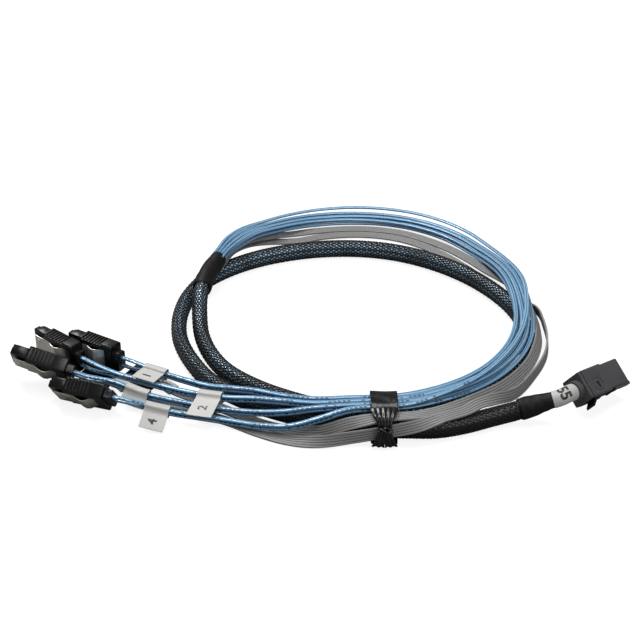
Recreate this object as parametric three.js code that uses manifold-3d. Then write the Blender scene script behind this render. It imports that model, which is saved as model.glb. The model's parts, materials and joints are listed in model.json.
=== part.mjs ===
// Mini SAS breakout cable: one mini SAS HD plug, a braided sleeve wound in a flat coil,
// and a breakout to four SATA connectors and two sideband connectors.
// Millimetres and degrees. X runs along the coil's longest side, Z is up, z = 0 is the table.

import * as THREE from 'three';
import Module from 'manifold-3d';
import { mergeVertices } from 'three/addons/utils/BufferGeometryUtils.js';

const wasm = await Module();
wasm.setup();

// Clearances
const clearance = 0.3;
const slotClearance = 0.3;

// Mini SAS HD plug
const plugLength = 23.6;
const plugWidth = 12.2;
const plugHeight = 11.4;
const plugCornerRadius = 0.8;
const plugNoseLength = 10.6;
const plugNoseStep = 0.45;
const plugCavityDepth = 9.4;
const plugWall = 1.3;
const rearCoverLength = 1.4;
const rearCollarLength = 2.2;
const rearCollarRadius = 4.3;
const cardThickness = 0.9;
const cardPitch = 3.6;
const cardLength = 8.6;
const padCount = 9;
const padWidth = 0.45;
const padPitch = 0.8;
const padHeight = 0.1;
const blockLength = 3.4;
const latchWidth = 5.4;
const latchThickness = 1.1;
const latchPocketDepth = 1.9;
const latchPivotFromRear = 9.4;
const guideRibHeight = 0.9;
const guideRibWidth = 2.6;

// SATA connectors
const gripLength = 17;
const gripWidth = 14.6;
const gripThickness = 7.2;
const gripCornerRadius = 0.9;
const gripGrooveWidth = 0.75;
const gripGrooveDepth = 0.6;
const gripGroovePitch = 1.55;
const gripGrooveCount = 7;
const bootLength = 3;
const bootWidth = 9;
const bootThickness = 4.8;
const noseLength = 7;
const noseWidth = 13.2;
const noseThickness = 4.6;
const tangLength = 4.5;
const tangWidth = 9;
const tangThickness = 3;
const lSlotWidth = 10.6;
const lSlotThickness = 1.25;
const lSlotLeg = 1.3;
const lSlotDepth = 5.6;
const contactCount = 7;
const contactPitch = 1.27;
const contactWidth = 0.55;
const contactHeight = 0.22;
const clipWidth = 9.4;
const clipThickness = 0.3;
const clipPocketDepth = 1.1;
const clipReach = 5.6;
const clipRootInset = 13.4;
const lockBumpHeight = 0.45;
const lockBumpWidth = 1.8;

// Sideband connectors
const sidebandLength = 13;
const sidebandWidth = 8.6;
const sidebandHeight = 4.6;
const sidebandPitch = 2;
const sidebandRows = 2;
const sidebandWays = 4;
const cavitySize = 1.5;
const cavityDepth = 9;
const terminalLength = 6.6;
const lanceLength = 1.8;

// Cords
const sleeveWidth = 7;
const sleeveHeight = 8.8;
const twinaxWidth = 2;
const twinaxThickness = 1.3;
const twinaxPairPitch = 3.81;
const ribbonWidth = 5.2;
const ribbonThickness = 0.95;
const ribbonChamfer = 0.25;
const shrinkNarrow = 6.4;
const shrinkWide = 8.4;
const breakoutWidth = 7.6;
const breakoutHeight = 8.4;
const tieThickness = 0.5;
const tieWidth = 11;
const tieWaist = 6;
const tieTailLength = 3.8;
const labelThickness = 0.3;
const plugLabelLength = 9.6;
const flagLength = 10.5;
const flagSlack = 0.45;
const ribbonLabelLength = 7;

// Steps along each kind of cord
const sleeveSteps = 66;
const twinaxSteps = 44;
const ribbonSteps = 60;
const shrinkSteps = 12;
const breakoutSteps = 6;

// Where the pieces lie: a point, then turns about Z, Y and X as the piece lies on the table
const plugPlace = { at: [106, -74.4, 10.9], yaw: 39.5, pitch: 6, roll: 37 };
const sataPlaces = [
  { at: [-102.9, -69.6, 7.9], yaw: 161.4, pitch: 0, roll: 234 },
  { at: [-122.2, -52.5, 12.2], yaw: 168, pitch: -13.9, roll: 234 },
  { at: [-116.5, -34.6, 7.4], yaw: 140, pitch: 0, roll: 270 },
  { at: [-101, -36.8, 7.4], yaw: 148.2, pitch: 0, roll: 270 },
];
const sidebandPlaces = [
  { at: [-69, -55.8, 2.4], yaw: 150, pitch: 0, roll: 0 },
  { at: [-88.4, -55.2, 2.4], yaw: 155, pitch: 0, roll: 0 },
];

// Flag labels on the SATA legs: distance from the connector, length, height and slope of the tail
const flags = [
  { setback: 13, tail: 8.5, height: 0.2, slope: -22 },
  { setback: 25, tail: 5, height: 0, slope: -35 },
  { setback: 57, tail: 11.5, height: 0.9, slope: -8 },
  { setback: 12, tail: 8, height: 1.6, slope: 4 },
];
const ribbonLabelSetbacks = [4.2, 3.6];

// Inside of the wrapped tie in Y and Z, around the whole bundle, and its place along X
const tieAt = 26.3;
const tieLoop = [
  [-96.3, 0.75], [-93, 0.6], [-89.3, 0.6], [-85.6, 0.6], [-82.6, 0.75], [-80.5, 2.6], [-79.2, 6.4],
  [-77.9, 10.4], [-78.3, 12.7], [-80.6, 13.9], [-87.6, 13.9], [-90, 12.8], [-95.6, 12], [-98, 10],
  [-98.7, 7], [-98.7, 3.6], [-98, 1.6],
];
const tieKnot = [-99.6, 5.4];

// Routes, each a list of points chosen along the cord

// Plug end of the cord, under the heat shrink
const shrinkRoute = [
  [98.1, -79.6, 10.7], [93, -80, 9.2], [87.4, -80.4, 7.4], [81.9, -81.4, 6.1],
];

// Braided sleeve, one and a half turns, rising to the breakout
const sleeveRoute = [
  [81.2, -81.6, 5.9], [76, -82.9, 5.2], [70.5, -84.7, 4.8], [58.5, -89.4, 4.5], [47.5, -92.6, 4.8], [36.5, -93.2, 5.2],
  [26.3, -92.7, 5.2], [12.5, -89.9, 4.8], [-1.5, -86.1, 4.4], [-16.5, -79.9, 4.4], [-30.5, -72, 4.4],
  [-45, -59.6, 4.4], [-54.5, -43.6, 4.4], [-60.5, -27.8, 4.4], [-62.5, -13.8, 4.4], [-62.1, -1, 4.4],
  [-59.5, 11.3, 4.4], [-53.3, 25, 4.4], [-42.7, 36.6, 4.4], [-27.4, 46.7, 4.4], [-6.5, 54, 4.4],
  [14.6, 56, 4.4], [32, 53.5, 4.4], [47, 47.5, 4.4], [60, 39, 4.4], [72.5, 27, 4.4],
  [83.4, 11.3, 4.4], [89.6, -3.6, 4.4], [92, -18.5, 4.4], [91.3, -34.2, 4.4], [86.2, -49.4, 4.4],
  [76.5, -62.5, 4.4], [63.5, -73.2, 4.4], [51, -80.2, 4.7], [38.5, -84.3, 5.1], [26.3, -84.9, 5.2],
  [10.5, -82, 4.8], [-8.5, -74, 4.4], [-25.5, -64, 4.4], [-39, -51.5, 4.4], [-47, -37.5, 4.5],
  [-51.7, -23, 5.2], [-53.3, -11, 8], [-53.6, -1.5, 11.5], [-53.2, 3.4, 12.5],
];

// Heat shrink at the breakout, over the outer turn of the sleeve
const breakoutRoute = [
  [-53.1, 4.2, 12.7], [-52.6, 8.5, 13.2], [-51.7, 13, 13.5], [-49.7, 21.5, 13.6], [-46.9, 29.5, 13.6],
];

// The eight flat cords together: x, y, mid height, column pitch, stagger, layer gap, roll
const bundleRoute = [
  [-40.9, 44.2, 14.3, 2.3, 0, 2.4, 60],
  [-33.7, 59, 11.5, 2.8, 0.3, 1.9, 25],
  [-24.1, 72.4, 7.5, 3.1, 0.8, 1.7, 0],
  [-12.8, 83.2, 4.6, 3.3, 1.3, 1.65, 0],
  [0.5, 90.6, 2.7, 3.4, 1.6, 1.65, 0],
  [15.5, 93.6, 2, 3.4, 1.7, 1.65, 0],
  [31, 92.6, 1.9, 3.3, 1.6, 1.65, 0],
  [46, 88, 2, 3.2, 1.6, 1.65, 0],
  [59, 80, 2.3, 3.1, 1.5, 1.65, 0],
  [69.5, 69, 3, 3, 1.4, 1.65, 0],
  [77.5, 55.5, 4.2, 2.8, 1.2, 1.65, 0],
  [83.7, 40.5, 6.8, 2.6, 1, 1.65, 0],
  [88.1, 25, 9.5, 2.5, 0.8, 1.65, 0],
  [90.5, 9.5, 10.8, 2.4, 0.5, 1.65, 0],
  [91.4, -6, 10.8, 2.35, 0.2, 1.65, 0],
  [90.6, -22, 10.8, 2.35, 0, 1.65, 0],
  [87.1, -37, 10.8, 2.35, 0, 1.65, 0],
  [80.3, -50.8, 10.8, 2.35, 0, 1.65, 0],
  [70.9, -62.4, 10.8, 2.35, 0, 1.65, 0],
  [59.3, -71.6, 10.9, 2.35, 0, 1.65, 0],
  [47, -78.4, 11.2, 2.35, 0, 1.65, 0],
  [36, -82.6, 11.5, 2.35, 0, 1.6, 0],
  [26.3, -84.1, 11.5, 2.35, 0, 1.6, 0],
];

// Each pair's own way from the tie to its connector: x, y, mid height
const legRoutes = [
  [[12.5, -89, 11.3], [0.5, -91.6, 8.8], [-11.5, -92.2, 5.4], [-23.5, -89.6, 3.7], [-35.5, -86.2, 3.4],
    [-47.5, -83, 3.4], [-59.5, -80.6, 3.9], [-70.5, -78.6, 5.6]],
  [[12.5, -86.4, 11.4], [-1.5, -87.2, 10.7], [-13.5, -86.4, 8.4], [-25.5, -83.3, 5.9], [-37.5, -80, 4.7],
    [-49.5, -76.5, 4.4], [-61.5, -72.8, 4.5], [-73.5, -68.5, 5], [-85.5, -63.4, 6.9]],
  [[12.5, -83.8, 11.4], [-1.5, -84.2, 10.9], [-14.5, -82.2, 10.7], [-26.5, -78.8, 9.5], [-37.5, -75.5, 7.6],
    [-49.5, -71.5, 6.6], [-61.5, -67, 6.4], [-73.5, -62, 6.6], [-85.5, -57, 7]],
  [[12.5, -81.2, 11.4], [-1.5, -81.2, 10.9], [-14.5, -78.8, 10.8], [-26.5, -74.8, 10.7], [-36.5, -71.6, 9.7],
    [-46.5, -67, 7.8], [-57.5, -61.6, 7.5], [-68.5, -56, 7.7]],
];

// Grey ribbon cables: x, y, height, roll; the first ends at the rear sideband connector
const ribbonRoutes = [
  [[-41.7, 42.8, 11.4, 0], [-34.1, 56.2, 8.7, 0], [-24.1, 67, 5, 0], [-11.9, 75, 2.1, 0],
    [1.5, 80.3, 1.1, 0], [16, 82.2, 0.9, 0], [29.5, 81.2, 0.9, 0], [42, 77.4, 0.9, 0],
    [53, 70.6, 1, 0], [63.1, 60.6, 1.8, 0], [72.1, 48, 3, 0], [80.1, 34, 4.4, 0],
    [87.7, 20, 5.8, -20], [93.4, 6, 6.9, -45], [96.4, -8, 6.9, -58], [96.7, -21.5, 7, -60],
    [95, -34.6, 7.8, -54], [89.1, -51, 8, -50], [78.9, -65.2, 8, -50], [65.7, -76.2, 8.3, -45],
    [52.5, -85.4, 9.4, -15], [39.5, -91.2, 10.4, 0], [26.3, -92.9, 10.5, 0], [12.5, -94, 8.3, -48],
    [0.5, -93.2, 3.8, -55], [-11.5, -89.2, 1.3, -15], [-22.5, -84.3, 0.9, 0], [-35, -76.5, 0.9, 0],
    [-47, -68.8, 0.9, 0], [-57.5, -62.8, 1.1, 0], [-60.4, -61.2, 1.4, 0]],
  [[-42.4, 42, 10.1, 0], [-35.5, 54, 7.3, 0], [-25.1, 63.6, 3.7, 0], [-10.9, 69.2, 1.2, 0],
    [2.1, 74.2, 0.9, 0], [16, 76.2, 0.9, 0], [29, 75.2, 0.9, 0], [40.5, 71.5, 0.9, 0],
    [50.9, 65, 0.9, 0], [60.5, 55.4, 0.9, 0], [69.7, 43.4, 0.9, 0], [78.9, 29.6, 1.2, -5],
    [88.8, 15, 1.9, -25], [99.2, 1.5, 2.7, -78], [100.9, -11, 3.2, -84], [100.8, -24, 3.2, -84],
    [98.3, -37, 3.2, -84], [91.3, -52.4, 3.5, -84], [81.9, -67, 4.4, -75], [71.5, -77.6, 8.7, -42],
    [65.5, -82.6, 10.4, -20], [59.5, -87.4, 10.2, -12], [49.5, -92.6, 10.3, -10], [39.1, -96.7, 8.9, -52],
    [26.3, -97.2, 6.3, -80], [12.5, -97.8, 4, -75], [0.5, -98.2, 2.4, -48], [-11.5, -95.9, 1.3, -12],
    [-23.5, -90.6, 0.9, 0], [-35, -83.6, 0.9, 0], [-46.5, -77.6, 0.9, 0], [-58.5, -72, 0.9, 0],
    [-69, -67.6, 0.9, 0], [-78, -62.8, 1.2, 0]],
];

// Finishes
const finishes = {
  dullBlack: { color: 0x1b1b1d, roughness: 0.55, metalness: 0 },
  plugBlack: { color: 0x2a2a2d, roughness: 0.48, metalness: 0 },
  shrinkBlack: { color: 0x121214, roughness: 0.6, metalness: 0 },
  glossBlack: { color: 0x0c0c0d, roughness: 0.22, metalness: 0 },
  braid: { color: 0x1c2430, roughness: 0.5, metalness: 0 },
  blue: { color: 0x5f9fc8, roughness: 0.28, metalness: 0.1 },
  grey: { color: 0x8a8a88, roughness: 0.5, metalness: 0 },
  steel: { color: 0xb9b4aa, roughness: 0.3, metalness: 1 },
  board: { color: 0x1f5a34, roughness: 0.45, metalness: 0 },
  gold: { color: 0xc9a04a, roughness: 0.3, metalness: 1 },
  paper: { color: 0xe8e7e2, roughness: 0.6, metalness: 0 },
  block: { color: 0x26262a, roughness: 0.6, metalness: 0 },
};
const materials = {};
for (const [name, look] of Object.entries(finishes)) {
  materials[name] = new THREE.MeshStandardMaterial({ ...look, name });
}

const harness = new THREE.Group();
harness.name = 'mini_sas_breakout_cable';

function addPiece(name, geometry, finish, parent = harness) {
  const mesh = new THREE.Mesh(geometry, materials[finish]);
  mesh.name = name;
  parent.add(mesh);
  return mesh;
}

// Turns a closed geometry into a solid for cutting and joining.
function toSolid(geometry) {
  const bare = geometry.index ? geometry.toNonIndexed() : geometry.clone();
  bare.deleteAttribute('normal');
  bare.deleteAttribute('uv');
  const merged = mergeVertices(bare, 1e-4);
  return new wasm.Manifold(new wasm.Mesh({
    numProp: 3,
    vertProperties: new Float32Array(merged.attributes.position.array),
    triVerts: new Uint32Array(merged.index.array),
  }));
}

// Turns a solid back into a geometry with flat faces.
function toGeometry(solid) {
  const mesh = solid.getMesh();
  const indexed = new THREE.BufferGeometry();
  indexed.setAttribute('position', new THREE.BufferAttribute(mesh.vertProperties, 3));
  indexed.setIndex(new THREE.BufferAttribute(mesh.triVerts, 1));
  const geometry = indexed.toNonIndexed();
  geometry.computeVertexNormals();
  return geometry;
}

// A body joined from some closed geometries and cut by others.
function carve(bodies, cutters = []) {
  let solid = bodies.map(toSolid).reduce((whole, next) => whole.add(next));
  if (cutters.length > 0) {
    solid = solid.subtract(cutters.map(toSolid).reduce((whole, next) => whole.add(next)));
  }
  return toGeometry(solid);
}

// A box between two x, two y and two z values.
function block([x0, x1], [y0, y1], [z0, z1]) {
  const geometry = new THREE.BoxGeometry(x1 - x0, y1 - y0, z1 - z0);
  return geometry.translate((x0 + x1) / 2, (y0 + y1) / 2, (z0 + z1) / 2);
}

// A rectangle about the origin with round corners.
function roundedRectangle(width, height, radius) {
  const shape = new THREE.Shape();
  const [right, top] = [width / 2, height / 2];
  shape.moveTo(right, radius - top);
  shape.lineTo(right, top - radius);
  shape.absarc(right - radius, top - radius, radius, 0, Math.PI / 2);
  shape.lineTo(radius - right, top);
  shape.absarc(radius - right, top - radius, radius, Math.PI / 2, Math.PI);
  shape.lineTo(-right, radius - top);
  shape.absarc(radius - right, radius - top, radius, Math.PI, 1.5 * Math.PI);
  shape.lineTo(right - radius, -top);
  shape.absarc(right - radius, radius - top, radius, 1.5 * Math.PI, 2 * Math.PI);
  return shape;
}

// A rectangle about the origin with its corners cut off.
function chamferedRectangle(width, height, chamfer) {
  const [right, top] = [width / 2, height / 2];
  return polygon([
    [right, chamfer - top], [right, top - chamfer], [right - chamfer, top], [chamfer - right, top],
    [-right, top - chamfer], [-right, chamfer - top], [chamfer - right, -top], [right - chamfer, -top],
  ]);
}

function ellipse(width, height) {
  return new THREE.Shape().absellipse(0, 0, width / 2, height / 2, 0, 2 * Math.PI);
}

function polygon(points) {
  return new THREE.Shape(points.map(([x, y]) => new THREE.Vector2(x, y)));
}

// A section in Y and Z, extruded along X between two values.
const alongX = new THREE.Matrix4().makeBasis(
  new THREE.Vector3(0, 1, 0), new THREE.Vector3(0, 0, 1), new THREE.Vector3(1, 0, 0),
);
function barAlongX(section, x0, x1, curveSegments = 3) {
  const options = { depth: x1 - x0, bevelEnabled: false, curveSegments };
  return new THREE.ExtrudeGeometry(section, options).applyMatrix4(alongX).translate(x0, 0, 0);
}

// A profile in X and Z, extruded along Y about the middle.
function plateAcrossY(profile, width, curveSegments = 4) {
  const options = { depth: width, bevelEnabled: false, curveSegments };
  return new THREE.ExtrudeGeometry(profile, options)
    .rotateX(Math.PI / 2).translate(0, width / 2, 0);
}

// The outline of a strip of even thickness along a line of points in X and Z.
function stripOutline(points, thickness) {
  const upper = [];
  const lower = [];
  points.forEach(([x, z], index) => {
    const [px, pz] = points[Math.max(index - 1, 0)];
    const [nx, nz] = points[Math.min(index + 1, points.length - 1)];
    const run = Math.hypot(nx - px, nz - pz);
    const [sideX, sideZ] = [-(nz - pz) / run, (nx - px) / run];
    upper.unshift([x + sideX * thickness / 2, z + sideZ * thickness / 2]);
    lower.push([x - sideX * thickness / 2, z - sideZ * thickness / 2]);
  });
  return polygon([...lower, ...upper]);
}

// A group placed on the table by a point and three turns.
function placedGroup(name, { at, yaw, pitch, roll }) {
  const holder = new THREE.Group();
  holder.name = name;
  holder.position.set(...at);
  holder.rotation.set(...[roll, pitch, yaw].map(THREE.MathUtils.degToRad), 'ZYX');
  holder.updateMatrix();
  harness.add(holder);
  return holder;
}

// A thin wall round a section, a clearance away from it.
function ringOf(outline, width, height, ...rest) {
  const inner = 2 * clearance;
  const outer = inner + 2 * labelThickness;
  const ring = outline(width + outer, height + outer, ...rest);
  ring.holes.push(outline(width + inner, height + inner, ...rest));
  return ring;
}

function lengthOf(points) {
  const curve = new THREE.CatmullRomCurve3(
    points.map((p) => new THREE.Vector3(p[0], p[1], p[2])), false, 'centripetal',
  );
  curve.arcLengthDivisions = 40 * points.length;
  return curve.getLength();
}

// Value at a fraction of the way through a list, with even steps between its entries.
function valueAt(list, fraction) {
  const place = THREE.MathUtils.clamp(fraction, 0, 1) * (list.length - 1);
  const index = Math.min(Math.floor(place), list.length - 2);
  return THREE.MathUtils.lerp(list[index], list[index + 1], place - index);
}

// A closed cord: a section carried along a smooth curve, upright unless rolled.
function cord(points, section, steps, options = {}) {
  const { rolls = [0, 0], scales = [1, 1], segments = 2, from = 0, to = 1 } = options;
  const curve = new THREE.CatmullRomCurve3(
    points.map((p) => new THREE.Vector3(p[0], p[1], p[2])), false, 'centripetal',
  );
  curve.arcLengthDivisions = 40 * points.length;
  const geometry = new THREE.ExtrudeGeometry(
    section, { depth: 1, steps, bevelEnabled: false, curveSegments: segments },
  );
  const position = geometry.attributes.position;
  const frames = [];
  for (let step = 0; step <= steps; step += 1) {
    const fraction = curve.getUtoTmapping(THREE.MathUtils.lerp(from, to, step / steps));
    const tangent = curve.getTangent(fraction);
    const side = new THREE.Vector3(0, 0, 1).cross(tangent).normalize();
    const lift = tangent.clone().cross(side);
    const roll = THREE.MathUtils.degToRad(valueAt(rolls, fraction));
    const across = side.clone().multiplyScalar(Math.cos(roll)).addScaledVector(lift, Math.sin(roll));
    const upward = lift.clone().multiplyScalar(Math.cos(roll)).addScaledVector(side, -Math.sin(roll));
    const scale = valueAt(scales, step / steps);
    frames.push({ point: curve.getPoint(fraction), across, upward, scale });
  }
  for (let i = 0; i < position.count; i += 1) {
    const frame = frames[Math.round(position.getZ(i) * steps)];
    const place = frame.point.clone()
      .addScaledVector(frame.across, position.getX(i) * frame.scale)
      .addScaledVector(frame.upward, position.getY(i) * frame.scale);
    position.setXYZ(i, place.x, place.y, place.z);
  }
  geometry.computeVertexNormals();
  return geometry;
}

// Points at a route's end, stepped back along a direction.
function pointFrom(place, local) {
  return new THREE.Vector3(...local).applyMatrix4(place.matrix).toArray();
}

// Mini SAS HD plug, nose along +X from its rear face
function plugShell() {
  const noseStart = plugLength - plugNoseLength;
  const body = barAlongX(
    roundedRectangle(plugWidth, plugHeight, plugCornerRadius), rearCoverLength + clearance, noseStart,
  );
  const nose = barAlongX(
    roundedRectangle(plugWidth - 2 * plugNoseStep, plugHeight - 2 * plugNoseStep, plugCornerRadius),
    noseStart - 1, plugLength,
  );
  const noseSide = plugWidth / 2 - plugNoseStep;
  const rib = block(
    [noseStart + 2.6, plugLength + 0.9],
    [-noseSide - guideRibHeight, -noseSide + 0.5],
    [plugHeight / 2 - plugNoseStep - guideRibWidth - 0.6, plugHeight / 2 - plugNoseStep - 0.6],
  );
  const cavityHalf = [noseSide - plugWall, plugHeight / 2 - plugNoseStep - plugWall];
  const cavity = block(
    [plugLength - plugCavityDepth, plugLength + 2],
    [-cavityHalf[0], cavityHalf[0]],
    [-cavityHalf[1], cavityHalf[1]],
  );
  const blockBay = block(
    [plugLength - plugCavityDepth - blockLength - 2 * clearance, plugLength - plugCavityDepth + 1],
    [-cavityHalf[0] + 0.6, cavityHalf[0] - 0.6],
    [-cavityHalf[1] + 0.6, cavityHalf[1] - 0.6],
  );
  const latchBay = latchBayCutter();
  const topZ = plugHeight / 2;
  const windowSlot = block([6.2, 7.8], [-3.4, -0.6], [topZ - 0.9, topZ + 1]);
  const ring = carve(
    [new THREE.CylinderGeometry(2.9, 2.9, 0.5, 20).rotateX(Math.PI / 2).translate(7, -2, topZ)],
    [new THREE.CylinderGeometry(2.6, 2.6, 2, 20).rotateX(Math.PI / 2).translate(7, -2, topZ)],
  );
  const seam = block([3.1, 3.4], [-plugWidth, plugWidth], [topZ - 0.2, topZ + 1]);
  return carve([body, nose, rib], [cavity, blockBay, latchBay, windowSlot, ring, seam]);
}

// Pocket with an arched front end, open along one side of the plug, for the latch
function latchBayCutter() {
  const half = latchWidth / 2 + slotClearance;
  const start = latchPivotFromRear - 6.6;
  const bay = new THREE.Shape();
  bay.moveTo(start, -half);
  bay.lineTo(plugLength - 6.6, -half);
  bay.absarc(plugLength - 6.6, 0, half, -Math.PI / 2, Math.PI / 2);
  bay.lineTo(start, half);
  bay.closePath();
  const options = { depth: latchPocketDepth + 2, bevelEnabled: false, curveSegments: 8 };
  return new THREE.ExtrudeGeometry(bay, options)
    .rotateX(Math.PI / 2)
    .translate(0, -plugWidth / 2 + latchPocketDepth, 0);
}

// Latch rocker: a lever on the side of the plug with a hook in front and a tab behind
function plugLatch() {
  const pivot = latchPivotFromRear;
  const side = -plugWidth / 2 + latchPocketDepth - slotClearance;
  const lever = polygon([
    [pivot - 4.6, side - 1.2], [pivot - 7.4, side - 3.6], [pivot - 7.4, side - 4.6],
    [pivot - 4.2, side - 2.2 - 0.1], [pivot - 0.6, side - latchThickness - 0.4],
    [pivot + 5.6, side - latchThickness], [pivot + 6.6, side - latchThickness - 0.9],
    [pivot + 7.8, side - latchThickness - 0.2], [pivot + 7.8, side - 0.4],
    [pivot + 0.9, side - 0.2], [pivot, side], [pivot - 0.9, side - 0.2],
  ]);
  const options = { depth: latchWidth, bevelEnabled: false };
  return new THREE.ExtrudeGeometry(lever, options).translate(0, 0, -latchWidth / 2);
}

function plugCard(z) {
  const halfWidth = (plugWidth - 2 * plugNoseStep) / 2 - plugWall - clearance - 0.4;
  const back = plugLength - plugCavityDepth + clearance;
  const board = block(
    [back, back + cardLength - 1.4], [-halfWidth, halfWidth], [z - cardThickness / 2, z + cardThickness / 2],
  );
  const pads = [];
  for (let index = 0; index < padCount; index += 1) {
    const y = (index - (padCount - 1) / 2) * padPitch;
    pads.push(block(
      [back + 3.2, back + cardLength - 1.7], [y - padWidth / 2, y + padWidth / 2],
      [z + cardThickness / 2 - 0.1, z + cardThickness / 2 + padHeight],
    ));
  }
  return carve([board, ...pads]);
}

function buildPlug() {
  const plug = placedGroup('plug', plugPlace);
  addPiece('plug_housing', plugShell(), 'plugBlack', plug);
  const coverPlate = barAlongX(
    roundedRectangle(plugWidth - 0.3, plugHeight - 0.3, plugCornerRadius), 0, rearCoverLength,
  );
  const collar = barAlongX(ellipse(2 * rearCollarRadius, 2 * rearCollarRadius), -rearCollarLength, 0.2, 6);
  addPiece('plug_rear_cover', carve([coverPlate, collar]), 'plugBlack', plug);
  addPiece('plug_latch', plugLatch(), 'dullBlack', plug);
  addPiece('paddle_card_upper', plugCard(cardPitch / 2), 'board', plug);
  addPiece('paddle_card_lower', plugCard(-cardPitch / 2), 'board', plug);
  const halfWidth = (plugWidth - 2 * plugNoseStep) / 2 - plugWall - 0.6 - clearance;
  const halfHeight = (plugHeight - 2 * plugNoseStep) / 2 - plugWall - 0.6 - clearance;
  const front = plugLength - plugCavityDepth;
  const termination = block([front - blockLength - clearance, front], [-halfWidth, halfWidth], [-halfHeight, halfHeight]);
  addPiece('termination_block', termination, 'block', plug);
  return plug;
}

// SATA connector, nose along +X from the front face of its grip, latch clip on +Z
function sataNose() {
  const nose = barAlongX(roundedRectangle(noseWidth, noseThickness, 0.4), clearance, noseLength, 1);
  const tang = block([-tangLength, clearance + 0.5], [-tangWidth / 2, tangWidth / 2], [-tangThickness / 2, tangThickness / 2]);
  const slotTop = lSlotThickness / 2 + 0.35;
  const slotBottom = slotTop - lSlotThickness;
  const long = block([noseLength - lSlotDepth, noseLength + 1], [-lSlotWidth / 2, lSlotWidth / 2], [slotBottom, slotTop]);
  const leg = block(
    [noseLength - lSlotDepth, noseLength + 1],
    [lSlotWidth / 2 - lSlotThickness, lSlotWidth / 2], [slotBottom - lSlotLeg, slotBottom + 0.1],
  );
  const keyNotch = block([noseLength - 1.6, noseLength + 1], [-noseWidth / 2 - 1, -noseWidth / 2 + 0.8], [-noseThickness, -0.6]);
  const hollow = carve([nose, tang], [long, leg, keyNotch]);
  const contacts = [];
  for (let index = 0; index < contactCount; index += 1) {
    const y = (index - (contactCount - 1) / 2) * contactPitch - 0.6;
    contacts.push(block(
      [noseLength - lSlotDepth - 0.2, noseLength - 0.5],
      [y - contactWidth / 2, y + contactWidth / 2], [slotTop - contactHeight, slotTop + 0.1],
    ));
  }
  return carve([hollow, ...contacts]);
}

function sataGrip() {
  const body = barAlongX(chamferedRectangle(gripWidth, gripThickness, gripCornerRadius), -gripLength, 0);
  const boot = barAlongX(
    chamferedRectangle(bootWidth, bootThickness, 0.8), -gripLength - bootLength, 0.5 - gripLength,
  );
  const tangBay = block(
    [-tangLength - clearance, 1],
    [-tangWidth / 2 - slotClearance, tangWidth / 2 + slotClearance],
    [-tangThickness / 2 - slotClearance, tangThickness / 2 + slotClearance],
  );
  const bayHalf = clipWidth / 2 + slotClearance;
  const bay = block([-clipRootInset, 1], [-bayHalf, bayHalf], [gripThickness / 2 - clipPocketDepth, gripThickness]);
  const rootSlot = block(
    [-clipRootInset - 1.9, 1 - clipRootInset], [-bayHalf, bayHalf],
    [gripThickness / 2 - clipPocketDepth, gripThickness / 2 - clipPocketDepth + clipThickness + 2 * 0.2],
  );
  const grooves = [];
  for (let index = 0; index < gripGrooveCount; index += 1) {
    const x = -1.3 - index * gripGroovePitch;
    for (const y of [-gripWidth / 2, gripWidth / 2]) {
      grooves.push(block(
        [x - gripGrooveWidth, x], [y - gripGrooveDepth, y + gripGrooveDepth], [-gripThickness, gripThickness],
      ));
    }
  }
  return carve([body, boot], [tangBay, bay, rootSlot, ...grooves]);
}

function sataClip() {
  const floor = gripThickness / 2 - clipPocketDepth + 0.2 + clipThickness / 2;
  const strip = stripOutline([
    [-clipRootInset - 1.6, floor], [-clipRootInset + 0.6, floor], [-clipRootInset + 2.2, floor + 0.7],
    [-clipRootInset + 4, floor + 1.9], [-clipRootInset + 5.6, floor + 2.2],
    [-clipRootInset + 7.4, floor + 1.7], [-clipRootInset + 9.2, floor + 0.9],
    [-2, floor + 0.75], [0.6, floor + 0.7], [clipReach - 0.8, floor + 0.6], [clipReach, floor + 0.35],
  ], clipThickness);
  const bumps = [-1, 1].map((side) => {
    const wedge = polygon([
      [1.6, floor + 0.6], [clipReach - 1.2, floor + 0.6], [2.2, floor + 0.75 + lockBumpHeight],
    ]);
    return plateAcrossY(wedge, lockBumpWidth).translate(0, side * 2.7, 0);
  });
  return carve([plateAcrossY(strip, clipWidth), ...bumps]);
}

function buildSata(place, number) {
  const holder = placedGroup(`sata_${number}`, place);
  addPiece(`sata_${number}_nose`, sataNose(), 'dullBlack', holder);
  addPiece(`sata_${number}_grip`, sataGrip(), 'dullBlack', holder);
  addPiece(`sata_${number}_latch_clip`, sataClip(), 'steel', holder);
  return holder;
}

// Sideband connector, mating face along +X from its rear face
function sidebandHousing() {
  const shell = barAlongX(roundedRectangle(sidebandWidth, sidebandHeight, 0.35), 0, sidebandLength, 1);
  const cutters = [];
  for (let row = 0; row < sidebandRows; row += 1) {
    const z = (row - (sidebandRows - 1) / 2) * sidebandPitch;
    for (let way = 0; way < sidebandWays; way += 1) {
      const y = (way - (sidebandWays - 1) / 2) * sidebandPitch;
      cutters.push(block(
        [sidebandLength - cavityDepth, sidebandLength + 1],
        [y - cavitySize / 2, y + cavitySize / 2], [z - cavitySize / 2, z + cavitySize / 2],
      ));
      if (row > 0) {
        cutters.push(block(
          [5.6, 5.6 + lanceLength], [y - cavitySize / 2 + 0.2, y + cavitySize / 2 - 0.2], [z, sidebandHeight],
        ));
      }
    }
  }
  cutters.push(block(
    [-1, 2], [-ribbonWidth / 2 - clearance, ribbonWidth / 2 + clearance],
    [-ribbonThickness / 2 - clearance, ribbonThickness / 2 + clearance],
  ));
  return carve([shell], cutters);
}

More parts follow.
